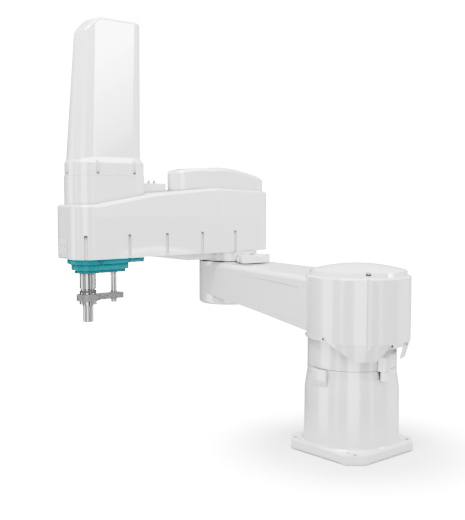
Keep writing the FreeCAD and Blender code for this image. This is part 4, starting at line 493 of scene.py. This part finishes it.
# Two set screws, side by side in each shaft collar's rim
QUILL_AXIS = (0.600, -UPPER_REACH)
SET_SCREW_HEAD, SET_SCREW_SUNK = (0.0028, 0.0016), 0.0012
for name, height, rim in (("upper_collar_set_screws", 0.4899, 0.0275),
                          ("lower_collar_set_screws", 0.4593, 0.0290)):
    SET_SCREWS = [socket_screw(around(rim - SET_SCREW_SUNK, angle, height, QUILL_AXIS), *SET_SCREW_HEAD,
                               around(1, angle, 0)) for angle in (20, 110)]
    piece(name, SET_SCREWS, "tool_shaft", "screw_steel")


# Studio: a pale floor that runs into a white background, and two soft lights from above

FLOOR_HALF = 12.0
FADE_START, FADE_END = 0.22, 0.75
BACKGROUND = 30.0
FLOOR_TONE, FLOOR_BOUNCE = (0.93, 0.93, 0.93), (0.38, 0.38, 0.38)

floor_mesh = bpy.data.meshes.new("studio_floor")
floor_mesh.from_pydata([(-FLOOR_HALF, -FLOOR_HALF, 0), (FLOOR_HALF, -FLOOR_HALF, 0),
                        (FLOOR_HALF, FLOOR_HALF, 0), (-FLOOR_HALF, FLOOR_HALF, 0)],
                       [], [(0, 1, 2, 3)])
floor = bpy.data.objects.new("studio_floor", floor_mesh)
bpy.context.scene.collection.objects.link(floor)
floor_finish = bpy.data.materials.new("studio_floor")
floor_finish.use_nodes = True
tree = floor_finish.node_tree
floor_shader = tree.nodes["Principled BSDF"]
floor_shader.inputs["Roughness"].default_value = 0.9
floor_shader.inputs["Specular IOR Level"].default_value = 0.1
seen = tree.nodes.new("ShaderNodeLightPath").outputs["Is Camera Ray"]
tree.links.new(blend_colour(tree, seen, FLOOR_BOUNCE, FLOOR_TONE), floor_shader.inputs["Base Color"])
distance = node(tree, "ShaderNodeVectorMath", operation="LENGTH")
tree.links.new(tree.nodes.new("ShaderNodeTexCoord").outputs["Object"], distance.inputs[0])
far = ramp(tree, distance.outputs["Value"], FADE_START, FADE_END)
glow = node(tree, "ShaderNodeEmission", Strength=BACKGROUND)
clear_air = tree.nodes.new("ShaderNodeBsdfTransparent")
beyond = blend_shader(tree, seen, clear_air.outputs["BSDF"], glow.outputs["Emission"])
surface = blend_shader(tree, far, floor_shader.outputs["BSDF"], beyond)
tree.links.new(surface, tree.nodes["Material Output"].inputs["Surface"])
floor_mesh.materials.append(floor_finish)


def softbox(name, spot, aim, side, power):
    """A square soft light of one side length, turned towards a point."""
    lamp = bpy.data.lights.new(name, "AREA")
    lamp.shape = "SQUARE"
    lamp.size = side
    lamp.energy = power
    made = bpy.data.objects.new(name, lamp)
    bpy.context.scene.collection.objects.link(made)
    made.location = spot
    made.rotation_mode = "QUATERNION"
    made.rotation_quaternion = (Vector(aim) - Vector(spot)).to_track_quat("-Z", "Y")


ARM_MIDDLE = (0.2, -0.3, 0.6)
TOWER_MIDDLE = (0.53, -0.6, 1.15)
softbox("overhead_softbox", (0.1, -0.2, 3.6), ARM_MIDDLE, 3.2, 380)
softbox("tower_softbox", (1.7, 0.4, 2.5), TOWER_MIDDLE, 0.9, 150)


# The air round the arm: even light above, and pale cards with dark gaps between them at eye
# level, given as (angle from +X in degrees, brightness)
CARDS = [(-180, 0.30), (-134, 0.25), (-122, 0.0), (-68, 0.0), (-50, 0.06), (-36, 0.9), (-20, 0.9),
         (-12, 0.05), (-2, 0.05), (6, 0.5), (14, 0.05), (28, 0.06), (36, 1.0), (56, 1.0), (64, 0.02),
         (82, 0.02), (90, 0.5), (98, 0.14), (128, 0.14), (142, 0.5), (158, 0.5)]
CARD_LIGHT = 6.5
SKY_LIGHT = 3.4
SKY_START, SKY_FULL = 0.08, 0.32

# A tall pale screen on the near side, brighter in slanting steps towards its top; each step is
# (height, brightness), and the sides are angles from +X in degrees
SCREEN_MIDDLE = 124
SCREEN_LEFT, SCREEN_RIGHT = (114, 117), (131, 135)
SCREEN_TOP = (0.34, 0.38)
SCREEN_SLANT = 3.8
SCREEN_STEPS = ((0.120, 7.0), (0.150, 6.0), (0.185, 9.0), (0.215, 14.0))
STEP_BLUR = 0.004


def turn_share(angle):
    """An angle from +X in degrees as a share of a whole turn that starts at -180."""
    return 0.5 + angle / 360


def faded(tree, source, low, high):
    """1 below low and 0 above high, smooth between."""
    return math_node(tree, "SUBTRACT", 1.0, ramp(tree, source, low, high))


world = bpy.data.worlds.new("studio_air")
bpy.context.scene.world = world
world.use_nodes = True
tree = world.node_tree
direction = tree.nodes.new("ShaderNodeSeparateXYZ")
tree.links.new(tree.nodes.new("ShaderNodeTexCoord").outputs["Generated"], direction.inputs[0])
rise = direction.outputs["Z"]
azimuth = math_node(tree, "ARCTAN2", direction.outputs["Y"], direction.outputs["X"])
turn = math_node(tree, "ADD", math_node(tree, "DIVIDE", azimuth, math.tau), 0.5)

bands = tree.nodes.new("ShaderNodeValToRGB")
bands.color_ramp.interpolation = "EASE"
for n, (angle, strength) in enumerate(CARDS):
    share = turn_share(angle)
    stop = bands.color_ramp.elements[n] if n < 2 else bands.color_ramp.elements.new(share)
    stop.position = share
    stop.color = (strength, strength, strength, 1)
tree.links.new(turn, bands.inputs["Fac"])
cards = math_node(tree, "MULTIPLY", bands.outputs["Color"], CARD_LIGHT)
lift = ramp(tree, rise, SKY_START, SKY_FULL)
around_arm = math_node(tree, "ADD",
                       math_node(tree, "MULTIPLY", cards, math_node(tree, "SUBTRACT", 1.0, lift)),
                       math_node(tree, "MULTIPLY", lift, SKY_LIGHT))

aside = math_node(tree, "SUBTRACT", turn, turn_share(SCREEN_MIDDLE))
slant = math_node(tree, "SUBTRACT", rise, math_node(tree, "MULTIPLY", aside, SCREEN_SLANT))
screen = 0.0
for edge, gain in SCREEN_STEPS:
    step = math_node(tree, "MULTIPLY", ramp(tree, slant, edge, edge + STEP_BLUR), gain)
    screen = math_node(tree, "ADD", step, screen)
sides = math_node(tree, "MULTIPLY", ramp(tree, turn, *map(turn_share, SCREEN_LEFT)),
                  faded(tree, turn, *map(turn_share, SCREEN_RIGHT)))
panel = math_node(tree, "MULTIPLY", math_node(tree, "MULTIPLY", screen, sides),
                  faded(tree, rise, *SCREEN_TOP))

camera_ray = tree.nodes.new("ShaderNodeLightPath").outputs["Is Camera Ray"]
unseen = math_node(tree, "MULTIPLY", math_node(tree, "ADD", around_arm, panel),
                   math_node(tree, "SUBTRACT", 1.0, camera_ray))
strength = math_node(tree, "ADD", unseen, math_node(tree, "MULTIPLY", camera_ray, BACKGROUND))
tree.nodes["Background"].inputs["Color"].default_value = (1, 1, 1, 1)
tree.links.new(strength, tree.nodes["Background"].inputs["Strength"])
